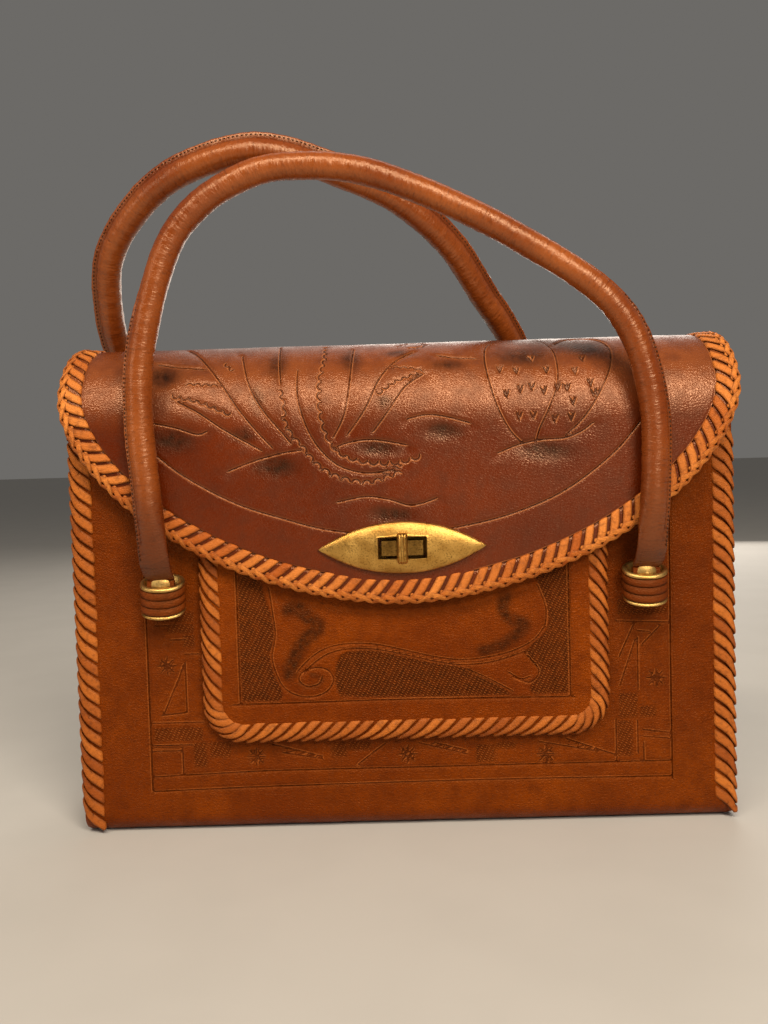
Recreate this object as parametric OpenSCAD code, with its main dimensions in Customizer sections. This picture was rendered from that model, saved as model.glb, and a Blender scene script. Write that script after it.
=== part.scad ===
// Tooled leather handbag: a folded leather body with laced edges, two pleated
// gussets, a laced front pocket, an over-the-top flap with a brass turn lock,
// and two rolled handles held in brass keepers.
// Millimetres, +Z up, front towards -Y, origin on the floor under the middle.

/* [Body] */
// Width of the folded body leather
body_w = 288; // [250:1:320]
// Depth from the front wall to the back wall
body_d = 64; // [50:1:90]
// Height of the front and back walls
wall_h = 177; // [165:1:195]
// Thickness of the body leather
body_t = 2.4; // [1.8:0.1:3]
// Outer radius of the folds at the base
fold_r = 8; // [5:0.5:12]
// Thickness of the stiffening board on the base
board_t = 1.5; // [1:0.1:3]

/* [Gussets] */
// Thickness of the gusset leather
gusset_t = 1.8; // [1.2:0.1:2.4]
// Width of the gusset flanges that are laced to the walls
flange_w = 10.5; // [10.5:0.5:14]
// How far the pleat in the middle of a gusset reaches in
pleat_in = 12; // [4:1:20]
// How far the top of a gusset lies below the walls
gusset_drop = 14; // [4:1:30]

/* [Flap] */
// Thickness of the flap leather
flap_t = 2.4; // [1.8:0.1:3]
// Half width of the flap at its ears
ear_half = 145; // [130:1:165]
// Height of the ears above the wall tops
ear_rise = 16; // [6:1:24]
// Height of the flap's lowest point
tip_z = 101; // [96:1:106]
// Half width of the flap at the back seam
seam_half = 132; // [115:1:145]
// Fullness of the flap's outline, where 2 is a half ellipse
flap_fullness = 1.78; // [1.6:0.02:2.2]
// How far the flap runs down the back wall
seam_drop = 24; // [16:1:36]

/* [Pocket] */
// Space between the pocket leather and the keepers beside it
pocket_margin = 7.5; // [5:0.5:20]
// Height of the pocket's lower edge
pocket_z = 41; // [30:1:50]
// Height of the pocket leather
pocket_h = 100; // [96:1:112]
// Radius of the pocket's lower corners
pocket_r = 16; // [14:1:24]
// Thickness of the pocket leather
pocket_t = 2.4; // [1.8:0.1:3]

/* [Lacing] */
// Thickness of the lace
lace_t = 1.2; // [0.8:0.1:1.5]
// Width of the lace
lace_w = 5; // [3:0.1:5.2]
// Distance from stitch to stitch along an edge
lace_pitch = 6.6; // [6.4:0.1:9]
// How far a stitch reaches in from the edge
lace_reach = 7.5; // [5:0.1:8]
// Slant of the stitches
lace_slant = 22; // [0:1:28]
// Clearance between lace and leather
lace_gap = 0.25; // [0.2:0.05:0.4]

/* [Handles] */
// Diameter of the rolled handles
handle_dia = 11; // [9:0.5:16]
// Half distance between the two ends of a handle
handle_half = 104; // [98:0.5:110]
// How much the rear handle leans forward over the flap, per height
rear_lean = 0.76; // [0:0.02:0.8]
// Thickness of the flattened handle ends
tongue_t = 3; // [2:0.1:3.4]

/* [Keepers] */
// Width of a keeper
keeper_w = 17.5; // [16:0.5:24]
// How far a keeper stands out from the wall
keeper_d = 12; // [11.5:0.1:14]
// Height of a keeper
keeper_h = 13.5; // [12:0.5:18]
// Height of the keeper's mouth
keeper_top = 112.5; // [104:0.5:114]
// Wall of the brass ferrule
ferrule_t = 1; // [0.8:0.1:1.2]
// How far the ferrule's rims stand out
rim_out = 0.8; // [0.6:0.1:1.2]
// Height of each rim
rim_h = 1.2; // [0.8:0.1:1.6]
// Radius of the rivet head
rivet_r = 4; // [3:0.1:5]

/* [Turn lock] */
// Length of the brass plate
plate_l = 72; // [60:1:90]
// Height of the brass plate
plate_h = 22.5; // [20:0.5:28]
// Height of the lock's centre
lock_z = 124.5; // [122:0.5:127]
// Length of the slot in the plate
slot_l = 20; // [18:0.5:24]
// Height of the slot in the plate
slot_h = 8.8; // [8:0.1:10]
// Length of the turning button
button_l = 13.2; // [11:0.1:16]
// Width of the turning button
button_w = 5; // [4:0.1:6]

/* [Hidden] */
$fn = 48;
fit = 0.2;
slide_fit = 0.05;

// Room for flat stitches on the curved inside of the flap's arch
arch_ease = 0.25;

// Wall faces and the stack of pocket, laces and flap in front of them
front_y = -body_d / 2;
pocket_w = 2 * (handle_half - keeper_w / 2 - pocket_margin);
pocket_gap = lace_t + 2 * lace_gap;
pocket_y = front_y - pocket_gap - pocket_t;
flap_in_y = pocket_y - 2 * (lace_t + lace_gap) - arch_ease - 1.5 * fit;
flap_out_y = flap_in_y - flap_t;

// Arch of the flap over the top, along the middle of the leather
arch_back = body_d / 2 + fit + flap_t / 2;
arch_front = flap_in_y - flap_t / 2;
arch_r = (arch_back - arch_front) / 2;
arch_y = (arch_back + arch_front) / 2;
arch_len = PI * arch_r;

// Flap outline: run is the distance along the leather from the arch's front
ear_run = -arch_r * asin(ear_rise / arch_r) * PI / 180;
tip_run = wall_h - tip_z;
seam_run = -arch_len - seam_drop;
tip_flat = 2;

// Keepers
keeper_bottom = keeper_top - keeper_h;
keeper_front = front_y - keeper_d;
tongue_front = keeper_front + ferrule_t + 1.5;
tongue_back = tongue_front + tongue_t;
tongue_w = keeper_w - 2 * ferrule_t - 4;
tongue_top = keeper_top + 0.4;
rivet_z = keeper_top - 1.5;
rivet_shank = 1.3;
dome_h = 1.2;

// Turn lock
plate_edge = 1;
plate_crown = 3;
plate_y = flap_out_y - 0.05;
plate_arc = (pow(plate_l / 2, 2) + pow(plate_h / 2, 2)) / plate_h;
base_t = 0.8;
block_l = slot_l - 2.5;
block_h = slot_h - 2.5;
block_front = plate_y - plate_edge - plate_crown + 0.3;
button_back = plate_y - plate_edge - plate_crown - 0.1;
button_d = 3.4;
stem_r = 1.6;
stem_in = 5;

// Handle routes, as points to pass smoothly through, from the left end to
// the right end: across, drawn for handle ends at route_half, and up from the
// top of the flap
route_half = 104;
front_route = [
    [-106, -66], [-108, -34], [-106, -4], [-95, 34], [-80.5, 53.5],
    [-58, 66], [-36, 68.5], [-10, 65], [23.5, 51.5], [54, 35],
    [84, 14.5], [99, -6.5], [106, -36], [106, -64]
];
rear_route = [
    [-108, -66], [-122, -30], [-134, 2], [-134, 25.5], [-127, 45.5],
    [-106, 65], [-82, 75.5], [-53, 79], [-18, 69], [4, 59.5],
    [25, 43.5], [41, 23], [55, 4.5], [72, -26], [87, -56]
];
ring_steps = 3;
ring_sides = 14;
hang_y = flap_out_y - handle_dia / 2 - 1;
roll_rise = 42;
foot_rise = 9;
top_z = wall_h + arch_r + flap_t / 2;
lean_z = top_z - 30;

LEATHER = [0.42, 0.2, 0.08];
FLAP_LEATHER = [0.34, 0.14, 0.06];
LACE = [0.7, 0.38, 0.15];
BRASS = [0.6, 0.48, 0.2];
BOARD = [0.45, 0.38, 0.28];

// Which wall and which side a piece belongs to
FRONT = false;
REAR = true;
LEFT = false;
RIGHT = true;

// Vectors and smooth curves
function unit(v) = v / norm(v);
function mid(a, b, k) = a + (b - a) * k;

// Catmull-Rom point between p[i] and p[i + 1]
function smooth_at(p, i, k) =
    let (
        a = p[max(i - 1, 0)],
        b = p[i],
        c = p[i + 1],
        d = p[min(i + 2, len(p) - 1)]
    )
    b + 0.5 * k * (c - a + k * (2 * a - 5 * b + 4 * c - d + k * (3 * (b - c) + d - a)));
function smooth_path(p, steps) = concat(
    [for (i = [0 : len(p) - 2]) for (j = [0 : steps - 1]) smooth_at(p, i, j / steps)],
    [p[len(p) - 1]]
);

// Running length along a list of points
function running(p) =
    [for (i = 0, s = 0; i < len(p); i = i + 1, s = i < len(p) ? s + norm(p[i] - p[i - 1]) : s) s];

// Rectangle with round corners, as plain squares and circles
module round_rect(w, h, r) {
    square([w - 2 * r, h], center = true);
    square([w, h - 2 * r], center = true);
    for (sx = [-1, 1], sy = [-1, 1])
        translate([sx * (w / 2 - r), sy * (h / 2 - r)]) circle(r);
}

// Puts a flat outline drawn in Y and Z into place, drawn out along X
module along_x(length) {
    rotate([90, 0, 90]) linear_extrude(length, center = true) children();
}

// Calls its children at each of the four keepers, turned to face outwards
module at_keeper(rear, right) {
    rotate([0, 0, rear ? 180 : 0])
        translate([(right != rear ? 1 : -1) * handle_half, 0, 0]) children();
}

// Body

module wall_section(inset) {
    translate([0, wall_h]) square([body_d - 2 * inset, 2 * (wall_h - fold_r)], center = true);
    translate([0, fold_r]) square([body_d - 2 * fold_r, 2 * (fold_r - inset)], center = true);
    for (s = [-1, 1])
        translate([s * (body_d / 2 - fold_r), fold_r]) circle(fold_r - inset);
}

module rivet_holes(r) {
    for (rear = [false, true], right = [false, true])
        at_keeper(rear, right)
            translate([0, front_y - 1, rivet_z]) rotate([-90, 0, 0]) cylinder(r = r, h = body_t + 2);
}

module body() color(LEATHER) difference() {
    along_x(body_w) difference() {
        wall_section(0);
        wall_section(body_t);
        translate([0, wall_h * 1.5]) square([2 * body_d, wall_h], center = true);
    }
    rivet_holes(rivet_shank + slide_fit);
}

module base_board() color(BOARD)
    translate([0, 0, body_t + board_t / 2])
        cube([
            body_w - 2 * (flange_w + pleat_in + gusset_t + 1),
            body_d - 2 * fold_r,
            board_t
        ], center = true);

// Gussets

// Thin sheet that follows a line of points, as one outline
module sheet_outline(p, t) {
    function turn(i) =
        let (
            a = i > 0 ? unit(p[i] - p[i - 1]) : unit(p[1] - p[0]),
            b = i < len(p) - 1 ? unit(p[i + 1] - p[i]) : a,
            n = unit([-a[1] - b[1], a[0] + b[0]])
        )
        n / (n * [-a[1], a[0]]);
    polygon(concat(
        [for (i = [0 : len(p) - 1]) p[i] + turn(i) * t / 2],
        [for (i = [len(p) - 1 : -1 : 0]) p[i] - turn(i) * t / 2]
    ));
}

module gusset(right) {
    edge_x = body_w / 2;
    flange_y = body_d / 2 - body_t - fit - gusset_t / 2;
    web_x = edge_x - flange_w;
    color(LEATHER) mirror([right ? 0 : 1, 0, 0]) intersection() {
        linear_extrude(wall_h - gusset_drop) sheet_outline([
            [edge_x, -flange_y], [web_x, -flange_y], [web_x - pleat_in, 0],
            [web_x, flange_y], [edge_x, flange_y]
        ], gusset_t);
        along_x(2 * body_w) wall_section(body_t + fit);
    }
}

// Lacing

// One whip stitch round an edge: the leather lies on the +X side, Z runs
// along the edge, and stack is the thickness that the stitch goes round
module stitch(stack, reach, width) {
    y_in = stack / 2 + lace_gap;
    y_out = y_in + lace_t;
    x_in = -lace_gap - width / 2 * sin(lace_slant);
    x_out = x_in - lace_t;
    soft = lace_t * 0.7;
    rotate([0, lace_slant, 0]) linear_extrude(width, center = true) polygon([
        [reach, y_in], [reach, y_out - soft / 2], [reach - soft, y_out],
        [x_out + soft, y_out], [x_out, y_out - soft],
        [x_out, soft - y_out], [x_out + soft, -y_out],
        [reach - soft, -y_out], [reach, soft / 2 - y_out], [reach, -y_in],
        [x_in, -y_in], [x_in, y_in]
    ]);
}

// Stitch set at a point of an edge, by the edge's direction and the face
module stitch_at(p, along, face, stack, reach, width) {
    into = unit(cross(face, along));
    multmatrix([
        [into[0], face[0], along[0], p[0]],
        [into[1], face[1], along[1], p[1]],
        [into[2], face[2], along[2], p[2]],
        [0, 0, 0, 1]
    ]) stitch(stack, reach, width);
}

// Lacing of a wall and a gusset flange, along one upright edge
module edge_lacing(rear, right) {
    stack = body_t + fit + gusset_t;
    low = fold_r + lace_w / 2 + lace_reach * sin(lace_slant);
    high = wall_h - gusset_drop - lace_w;
    count = floor((high - low) / lace_pitch);
    side = right == rear ? 1 : -1;
    color(LACE) rotate([0, 0, rear ? 180 : 0]) for (k = [0 : count])
        stitch_at(
            [-side * body_w / 2, front_y + stack / 2, low + k * lace_pitch],
            [0, 0, -side], [0, -1, 0], stack, lace_reach, lace_w
        );
}

// Pocket

// Length of the laced pocket edge, and the point and direction at a length
pocket_side = pocket_h - pocket_r;
pocket_bend = pocket_r * PI / 2;
pocket_base = pocket_w - 2 * pocket_r;
pocket_edge = 2 * (pocket_side + pocket_bend) + pocket_base;

function pocket_point(s) =
    let (
        half = pocket_w / 2,
        a = s - pocket_side,
        b = a - pocket_bend,
        c = b - pocket_base,
        d = c - pocket_bend
    )
    s < pocket_side ? [-half, pocket_z + pocket_h - s, -90] :
    a < pocket_bend ?
        let (t = 90 * a / pocket_bend)
        [pocket_r - half - pocket_r * cos(t), pocket_z + pocket_r - pocket_r * sin(t), t - 90] :
    b < pocket_base ? [pocket_r - half + b, pocket_z, 0] :
    c < pocket_bend ?
        let (t = 90 * c / pocket_bend)
        [half - pocket_r + pocket_r * sin(t), pocket_z + pocket_r - pocket_r * cos(t), t] :
    [half, pocket_z + pocket_r + d, 90];

function on_bend(s) =
    abs(s - pocket_side - pocket_bend / 2) < pocket_bend / 2 + lace_reach / 2 ||
    abs(pocket_edge - s - pocket_side - pocket_bend / 2) < pocket_bend / 2 + lace_reach / 2;

module pocket() color(LEATHER)
    translate([0, pocket_y + pocket_t, pocket_z]) rotate([90, 0, 0]) linear_extrude(pocket_t) {
        translate([0, (pocket_h + pocket_r) / 2])
            square([pocket_w, pocket_h - pocket_r], center = true);
        translate([0, pocket_r]) square([pocket_w - 2 * pocket_r, 2 * pocket_r], center = true);
        for (s = [-1, 1]) translate([s * (pocket_w / 2 - pocket_r), pocket_r]) circle(pocket_r);
    }

module pocket_lacing() {
    count = floor((pocket_edge - lace_w) / lace_pitch);
    bend_w = 0.92 * lace_pitch * (pocket_r - lace_reach) / pocket_r;
    color(LACE) for (k = [0 : count]) {
        s = lace_w / 2 + k * (pocket_edge - lace_w) / count;
        p = pocket_point(s);
        stitch_at(
            [p[0], pocket_y + pocket_t / 2, p[1]],
            [cos(p[2]), 0, sin(p[2])], [0, -1, 0],
            pocket_t, lace_reach, on_bend(s) ? bend_w : lace_w
        );
    }
}

// Flap

// Place [y, z] and outward face of the leather's middle at a run
function arch_angle(run) = -run / arch_r * 180 / PI;
function flap_place(run) =
    run >= 0 ? [arch_y - arch_r, wall_h - run] :
    run > -arch_len ? [
        arch_y - arch_r * cos(arch_angle(run)),
        wall_h + arch_r * sin(arch_angle(run))
    ] :
    [arch_y + arch_r, wall_h + arch_len + run];
function flap_face(run) =
    let (a = max(0, min(180, arch_angle(run))))
    [-cos(a), sin(a)];

// Half width and run of the outline, from 0 at the back seam to 1 at the tip
function full(v) = pow(max(v, 0), 2 / flap_fullness);
function flap_edge(t) =
    t < 0.5 ?
        let (u = 1 - 2 * t)
        [seam_half + (ear_half - seam_half) * cos(90 * u), mid(ear_run, seam_run, u)] :
        let (a = 180 * (t - 0.5))
        [ear_half * full(cos(a)), mid(ear_run, tip_run, full(sin(a)))];
function flap_point(side, t, out) =
    let (
        e = flap_edge(t),
        p = flap_place(e[1]),
        n = flap_face(e[1])
    )
    [side * e[0], p[0] + out * n[0], p[1] + out * n[1]];

module flap_sheet() {
    steps = 96;
    stations = [for (i = [0 : steps]) i / steps * (1 - tip_flat / 200)];
    points = [
        for (t = stations)
            for (c = [[-1, 1], [1, 1], [1, -1], [-1, -1]]) flap_point(c[0], t, c[1] * flap_t / 2)
    ];
    last = 4 * steps;
    polyhedron(points, concat(
        [[0, 1, 2, 3], [last + 3, last + 2, last + 1, last]],
        [
            for (i = [0 : steps - 1])
                for (k = [0 : 3])
                    let (a = 4 * i + k, b = 4 * i + (k + 1) % 4)
                    [a, a + 4, b + 4, b]
        ]
    ));
}

module flap() color(FLAP_LEATHER) difference() {
    flap_sheet();
    translate([0, flap_out_y, lock_z]) cube([slot_l + 1, 4 * flap_t, slot_h + 1], center = true);
}

// Whole laced edge, from the left end of the seam round the tip to the right
function lace_point(t) = t < 1 ? flap_point(-1, t, 0) : flap_point(1, 2 - t, 0);
flap_samples = 400;
flap_lengths = running([for (i = [0 : flap_samples]) lace_point(2 * i / flap_samples)]);
flap_table = [for (i = [0 : flap_samples]) [flap_lengths[i], 2 * i / flap_samples]];

// Length of the edge below the wall tops, where the flap is sewn down flat
sewn_t = 0.5 - 0.5 * (arch_len + ear_run) / (ear_run - seam_run);
sewn_len = lookup(sewn_t, [for (row = flap_table) [row[1], row[0]]]);

module flap_lacing() {
    start = sewn_len + lace_w;
    total = flap_lengths[flap_samples] - 2 * start;
    count = floor(total / lace_pitch);
    nudge = 0.002;
    color(LACE) for (k = [0 : count]) {
        t = lookup(start + k * total / count, flap_table);
        n = flap_face(flap_edge(t < 1 ? t : 2 - t)[1]);
        stitch_at(
            lace_point(t), unit(lace_point(t + nudge) - lace_point(t - nudge)),
            [0, n[0], n[1]], flap_t + 2 * arch_ease, lace_reach, lace_w
        );
    }
}

// Turn lock

module lens(length, height, arc, depth) {
    rotate([90, 0, 0]) intersection() {
        translate([0, arc - height / 2, 0]) cylinder(r = arc, h = depth, $fn = 128);
        translate([0, height / 2 - arc, 0]) cylinder(r = arc, h = depth, $fn = 128);
    }
}

module slot_cut(l, h) {
    cube([l, 60, h], center = true);
}

module lock_plate() {
    depth = plate_edge + plate_crown;
    cross_r = (pow(plate_h / 2, 2) + pow(plate_crown, 2)) / (2 * plate_crown);
    long_r = (pow(plate_l / 2, 2) + pow(plate_crown, 2)) / (2 * plate_crown);
    color(BRASS) translate([0, plate_y, lock_z]) difference() {
        intersection() {
            lens(plate_l, plate_h, plate_arc, depth);
            translate([0, cross_r - depth, 0]) rotate([0, 90, 0])
                cylinder(r = cross_r, h = 2 * plate_l, center = true, $fn = 96);
            translate([0, long_r - depth, 0])
                cylinder(r = long_r, h = 2 * plate_h, center = true, $fn = 256);
        }
        slot_cut(slot_l, slot_h);
    }
}

module lock_back_plate() color(BRASS)
    translate([0, flap_in_y + base_t - fit, lock_z]) difference() {
        lens(plate_l, plate_h, plate_arc, base_t - fit);
        slot_cut(slot_l + 1, slot_h + 1);
    }

module lock_base() color(BRASS) difference() {
    union() {
        translate([0, pocket_y - base_t / 2, lock_z])
            cube([slot_l + 6, base_t, slot_h + 5], center = true);
        translate([-block_l / 2, block_front, lock_z - block_h / 2])
            cube([block_l, pocket_y - block_front - base_t / 2, block_h]);
    }
    translate([0, block_front - 1, lock_z]) rotate([-90, 0, 0])
        cylinder(r = stem_r + slide_fit, h = stem_in + 1.5);
}

module turn_button() {
    groove_r = 0.5;
    end_r = button_l;
    color(BRASS) translate([0, button_back, lock_z]) {
        difference() {
            intersection() {
                translate([0, -button_d / 2, 0])
                    cube([button_w, button_d, button_l], center = true);
                translate([0, button_w / 2 - button_d, 0])
                    cylinder(r = button_w / 2, h = button_l, center = true);
                translate([0, end_r - button_d, 0]) rotate([0, 90, 0])
                    cylinder(r = end_r, h = button_w, center = true, $fn = 96);
            }
            for (s = [-1, 1])
                translate([s * button_w / 5, -button_d, 0])
                    cylinder(r = groove_r, h = button_l, center = true);
        }
        translate([0, -button_d / 2, 0]) rotate([-90, 0, 0])
            cylinder(r = stem_r, h = stem_in + button_d / 2);
    }
}

// Keepers

module keeper_section(grow) {
    translate([0, front_y - keeper_d / 2])
        round_rect(keeper_w + 2 * grow, keeper_d + 2 * grow, keeper_d * 0.48 + grow);
}

module ferrule(rear, right) color(BRASS) at_keeper(rear, right) difference() {
    intersection() {
        union() {
            translate([0, 0, keeper_bottom]) linear_extrude(keeper_h) keeper_section(0);
            for (z = [keeper_bottom, keeper_top - rim_h])
                translate([0, 0, z]) linear_extrude(rim_h) keeper_section(rim_out);
        }
        translate([0, front_y - keeper_d, keeper_top])
            cube([2 * keeper_w, 2 * keeper_d, 4 * keeper_h], center = true);
    }
    translate([0, 0, keeper_bottom - 1]) linear_extrude(keeper_h + 2) keeper_section(-ferrule_t);
    translate([0, front_y - 2 * ferrule_t, rivet_z]) rotate([-90, 0, 0])
        cylinder(r = rivet_shank + slide_fit, h = 3 * ferrule_t);
}

// Ribbed leather band round the ferrule, between its rims
module band(rear, right) {
    ribs = 3;
    room = keeper_h - 2 * rim_h - 2 * slide_fit;
    rib_h = room / ribs;
    groove = 0.5;
    thick = 1.4;
    color(FLAP_LEATHER) at_keeper(rear, right) difference() {
        translate([0, 0, keeper_bottom + rim_h + slide_fit]) {
            linear_extrude(room) keeper_section(thick - groove);
            for (k = [0 : ribs - 1])
                translate([0, 0, k * rib_h + groove]) linear_extrude(rib_h - 2 * groove)
                    keeper_section(thick);
        }
        translate([0, 0, keeper_bottom]) linear_extrude(keeper_h) keeper_section(slide_fit);
        translate([0, front_y + keeper_d - fit, keeper_bottom])
            cube([2 * keeper_w, 2 * keeper_d, 4 * keeper_h], center = true);
    }
}

// Flat end of a handle, riveted inside its keeper
module tongue(rear, right) color(FLAP_LEATHER) at_keeper(rear, right) difference() {
    translate([-tongue_w / 2, tongue_front, keeper_bottom + rim_h])
        cube([tongue_w, tongue_t, tongue_top - keeper_bottom - rim_h]);
    translate([0, tongue_front - 1, rivet_z]) rotate([-90, 0, 0])
        cylinder(r = rivet_shank + slide_fit, h = tongue_t + 2);
}

module keeper_rivets() {
    dome_r = (pow(rivet_r, 2) + pow(dome_h, 2)) / (2 * dome_h);
    burr_t = 0.8;
    tail = front_y + body_t + burr_t;
    color(BRASS) for (rear = [false, true], right = [false, true])
        at_keeper(rear, right) translate([0, 0, rivet_z]) rotate([-90, 0, 0]) {
            translate([0, 0, tongue_front]) intersection() {
                translate([0, 0, dome_r - dome_h]) sphere(dome_r, $fn = 96);
                translate([0, 0, -dome_h]) cylinder(r = rivet_r, h = dome_h);
            }
            translate([0, 0, tongue_front - dome_h / 2])
                cylinder(r = rivet_shank, h = tail - tongue_front + dome_h / 2);
            translate([0, 0, tail - burr_t]) cylinder(r = rivet_r * 0.8, h = burr_t);
        }
}

// Handles

// End of a handle, from the keeper's mouth out over the flap's edge,
// as [across, out from the wall, up]
foot = [
    [(tongue_front + tongue_back) / 2, tongue_top + fit],
    [flap_out_y - lace_t - tongue_t, keeper_top + foot_rise],
    [flap_out_y - lace_t - 1.5 * tongue_t, keeper_top + 2.2 * foot_rise]
];

// Points of a handle as if on the front wall: the feet lean over towards
// the first and the last point of the route
function foot_points(end, first) = [
    for (f = foot)
        let (k = max(0, (f[1] - keeper_top) / (first[1] - keeper_top)))
        [mid(end, first[0], pow(k, 1.2)), f[0], f[1]]
];
function handle_points(route, lean) =
    let (
        roll = [
            for (p = route)
                let (z = top_z + p[1])
                [p[0] * handle_half / route_half, hang_y + lean * max(0, z - lean_z), z]
        ],
        left_foot = foot_points(-handle_half, [roll[0][0], roll[0][2]]),
        last = roll[len(roll) - 1],
        right_foot = foot_points(handle_half, [last[0], last[2]])
    )
    concat(left_foot, roll, [for (i = [len(foot) - 1 : -1 : 0]) right_foot[i]]);

// Section half sizes: flat at the ends and round along the roll
function roll_depth(z) =
    let (k = max(0, min(1, (z - keeper_top - 6) / roll_rise)))
    mid(tongue_t / 2, handle_dia / 2, k * k * (3 - 2 * k));
function roll_ring(p, along, sides) =
    let (
        over = unit(cross([0, 1, 0], along)),
        deep = unit(cross(along, over)),
        half_w = mid(tongue_w / 2, handle_dia / 2, max(0, min(1, (p[2] - keeper_top) / roll_rise))),
        half_d = roll_depth(p[2])
    )
    [
        for (k = [0 : sides - 1])
            let (a = 360 * k / sides)
            p + half_w * cos(a) * over + half_d * sin(a) * deep
    ];

module rolled_handle(route, lean) {
    p = smooth_path(handle_points(route, lean), ring_steps);
    n = len(p);
    rings = [
        for (i = [0 : n - 1])
            roll_ring(p[i], i == 0 || i == n - 1 ?
                [0, 0, i == 0 ? 1 : -1] :
                unit(p[i + 1] - p[i - 1]), ring_sides)
    ];
    polyhedron([for (r = rings) each r], concat(
        [[for (k = [0 : ring_sides - 1]) k]],
        [[for (k = [ring_sides - 1 : -1 : 0]) (n - 1) * ring_sides + k]],
        [
            for (i = [0 : n - 2])
                for (k = [0 : ring_sides - 1])
                    let (a = i * ring_sides + k, b = i * ring_sides + (k + 1) % ring_sides)
                    [a, a + ring_sides, b + ring_sides, b]
        ]
    ));
}

module front_handle() color(FLAP_LEATHER) rolled_handle(front_route, 0);
module rear_handle() color(FLAP_LEATHER) mirror([0, 1, 0]) rolled_handle(rear_route, rear_lean);

body();
base_board();
pocket();
pocket_lacing();
flap();
flap_lacing();
lock_plate();
lock_back_plate();
lock_base();
turn_button();
keeper_rivets();
front_handle();
rear_handle();
gusset(LEFT);  // gusset_left
gusset(RIGHT);  // gusset_right
edge_lacing(FRONT, LEFT);  // lacing_front_left
edge_lacing(FRONT, RIGHT);  // lacing_front_right
edge_lacing(REAR, LEFT);  // lacing_rear_left
edge_lacing(REAR, RIGHT);  // lacing_rear_right
ferrule(FRONT, LEFT);  // ferrule_front_left
ferrule(FRONT, RIGHT);  // ferrule_front_right
ferrule(REAR, LEFT);  // ferrule_rear_left
ferrule(REAR, RIGHT);  // ferrule_rear_right
band(FRONT, LEFT);  // band_front_left
band(FRONT, RIGHT);  // band_front_right
band(REAR, LEFT);  // band_rear_left
band(REAR, RIGHT);  // band_rear_right
tongue(FRONT, LEFT);  // tongue_front_left
tongue(FRONT, RIGHT);  // tongue_front_right
tongue(REAR, LEFT);  // tongue_rear_left
tongue(REAR, RIGHT);  // tongue_rear_right
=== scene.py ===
"""Tooled leather handbag: looks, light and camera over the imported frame.

Every piece is worked out in millimetres from the frame's boxes and turned into
metres when its mesh is made. The tooling is real relief: cuts, scallops and
stamped grounds are pressed into fine leather sheets, and the same drawing gives
each sheet the dye and stamp masks that its material reads.
"""
import logging
import math
from dataclasses import dataclass
from enum import Enum
from typing import Callable, Sequence

import bmesh
import bpy
import numpy as np
from mathutils import Matrix, Vector


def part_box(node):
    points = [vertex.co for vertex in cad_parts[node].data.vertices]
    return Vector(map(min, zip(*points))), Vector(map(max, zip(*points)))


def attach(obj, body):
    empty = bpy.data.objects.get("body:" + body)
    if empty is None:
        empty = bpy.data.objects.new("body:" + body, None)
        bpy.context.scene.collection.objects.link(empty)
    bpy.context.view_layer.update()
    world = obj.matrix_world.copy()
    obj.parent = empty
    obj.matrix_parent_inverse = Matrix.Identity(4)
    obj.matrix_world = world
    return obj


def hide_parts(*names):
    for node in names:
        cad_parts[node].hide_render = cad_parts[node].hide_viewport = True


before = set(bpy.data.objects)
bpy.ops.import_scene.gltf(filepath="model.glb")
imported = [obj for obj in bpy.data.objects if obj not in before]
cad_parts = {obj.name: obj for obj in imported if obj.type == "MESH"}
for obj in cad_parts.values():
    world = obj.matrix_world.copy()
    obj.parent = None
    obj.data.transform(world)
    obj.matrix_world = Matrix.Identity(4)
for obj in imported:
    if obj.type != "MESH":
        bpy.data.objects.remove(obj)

LOG = logging.getLogger("handbag")
MM = 0.001
# Added to a length, so that it never divides as zero
TINY = 1e-9

Array, Piece, Material = np.ndarray, bpy.types.Object, bpy.types.Material
Socket = bpy.types.NodeSocket
Point = tuple[float, float]
Colour = tuple[float, float, float]
# Turns places across a sheet, along it and out from its middle into points in millimetres
Place = Callable[[Array, Array, Array], Array]


# Small tools


def srgb(red: int, green: int, blue: int) -> Colour:
    """Turn an 8-bit screen colour into a linear one.

    Args:
        red, green, blue: channels from 0 to 255.
    Returns:
        The linear colour.
    """
    def linear(value: int) -> float:
        part = value / 255
        return part / 12.92 if part <= 0.04045 else ((part + 0.055) / 1.055) ** 2.4
    return linear(red), linear(green), linear(blue)


def smooth_line(points: Sequence[Sequence[float]], steps: int = 6) -> Array:
    """Pass a Catmull-Rom curve through points.

    Args:
        points: the points to pass through, of any dimension.
        steps: samples between two points.
    Returns:
        The samples, one row each.
    """
    p = np.asarray(points, float)
    padded = np.vstack([p[:1], p, p[-1:]])
    out = []
    for a, b, c, d in zip(padded, padded[1:], padded[2:], padded[3:]):
        for k in np.arange(steps) / steps:
            out.append(b + 0.5 * k * (c - a + k * (2 * a - 5 * b + 4 * c - d + k * (3 * (b - c) + d - a))))
    out.append(p[-1])
    return np.array(out)


def even_line(line: Array, gap: float) -> Array:
    """Resample a line at even distances.

    Args:
        line: points of the line.
        gap: about how far apart the samples lie.
    Returns:
        The new samples, with both ends kept.
    """
    run = np.concatenate([[0], np.cumsum(np.linalg.norm(np.diff(line, axis=0), axis=1))])
    count = max(2, round(run[-1] / gap) + 1)
    at = np.linspace(0, run[-1], count)
    return np.stack([np.interp(at, run, line[:, i]) for i in range(line.shape[1])], 1)


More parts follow.
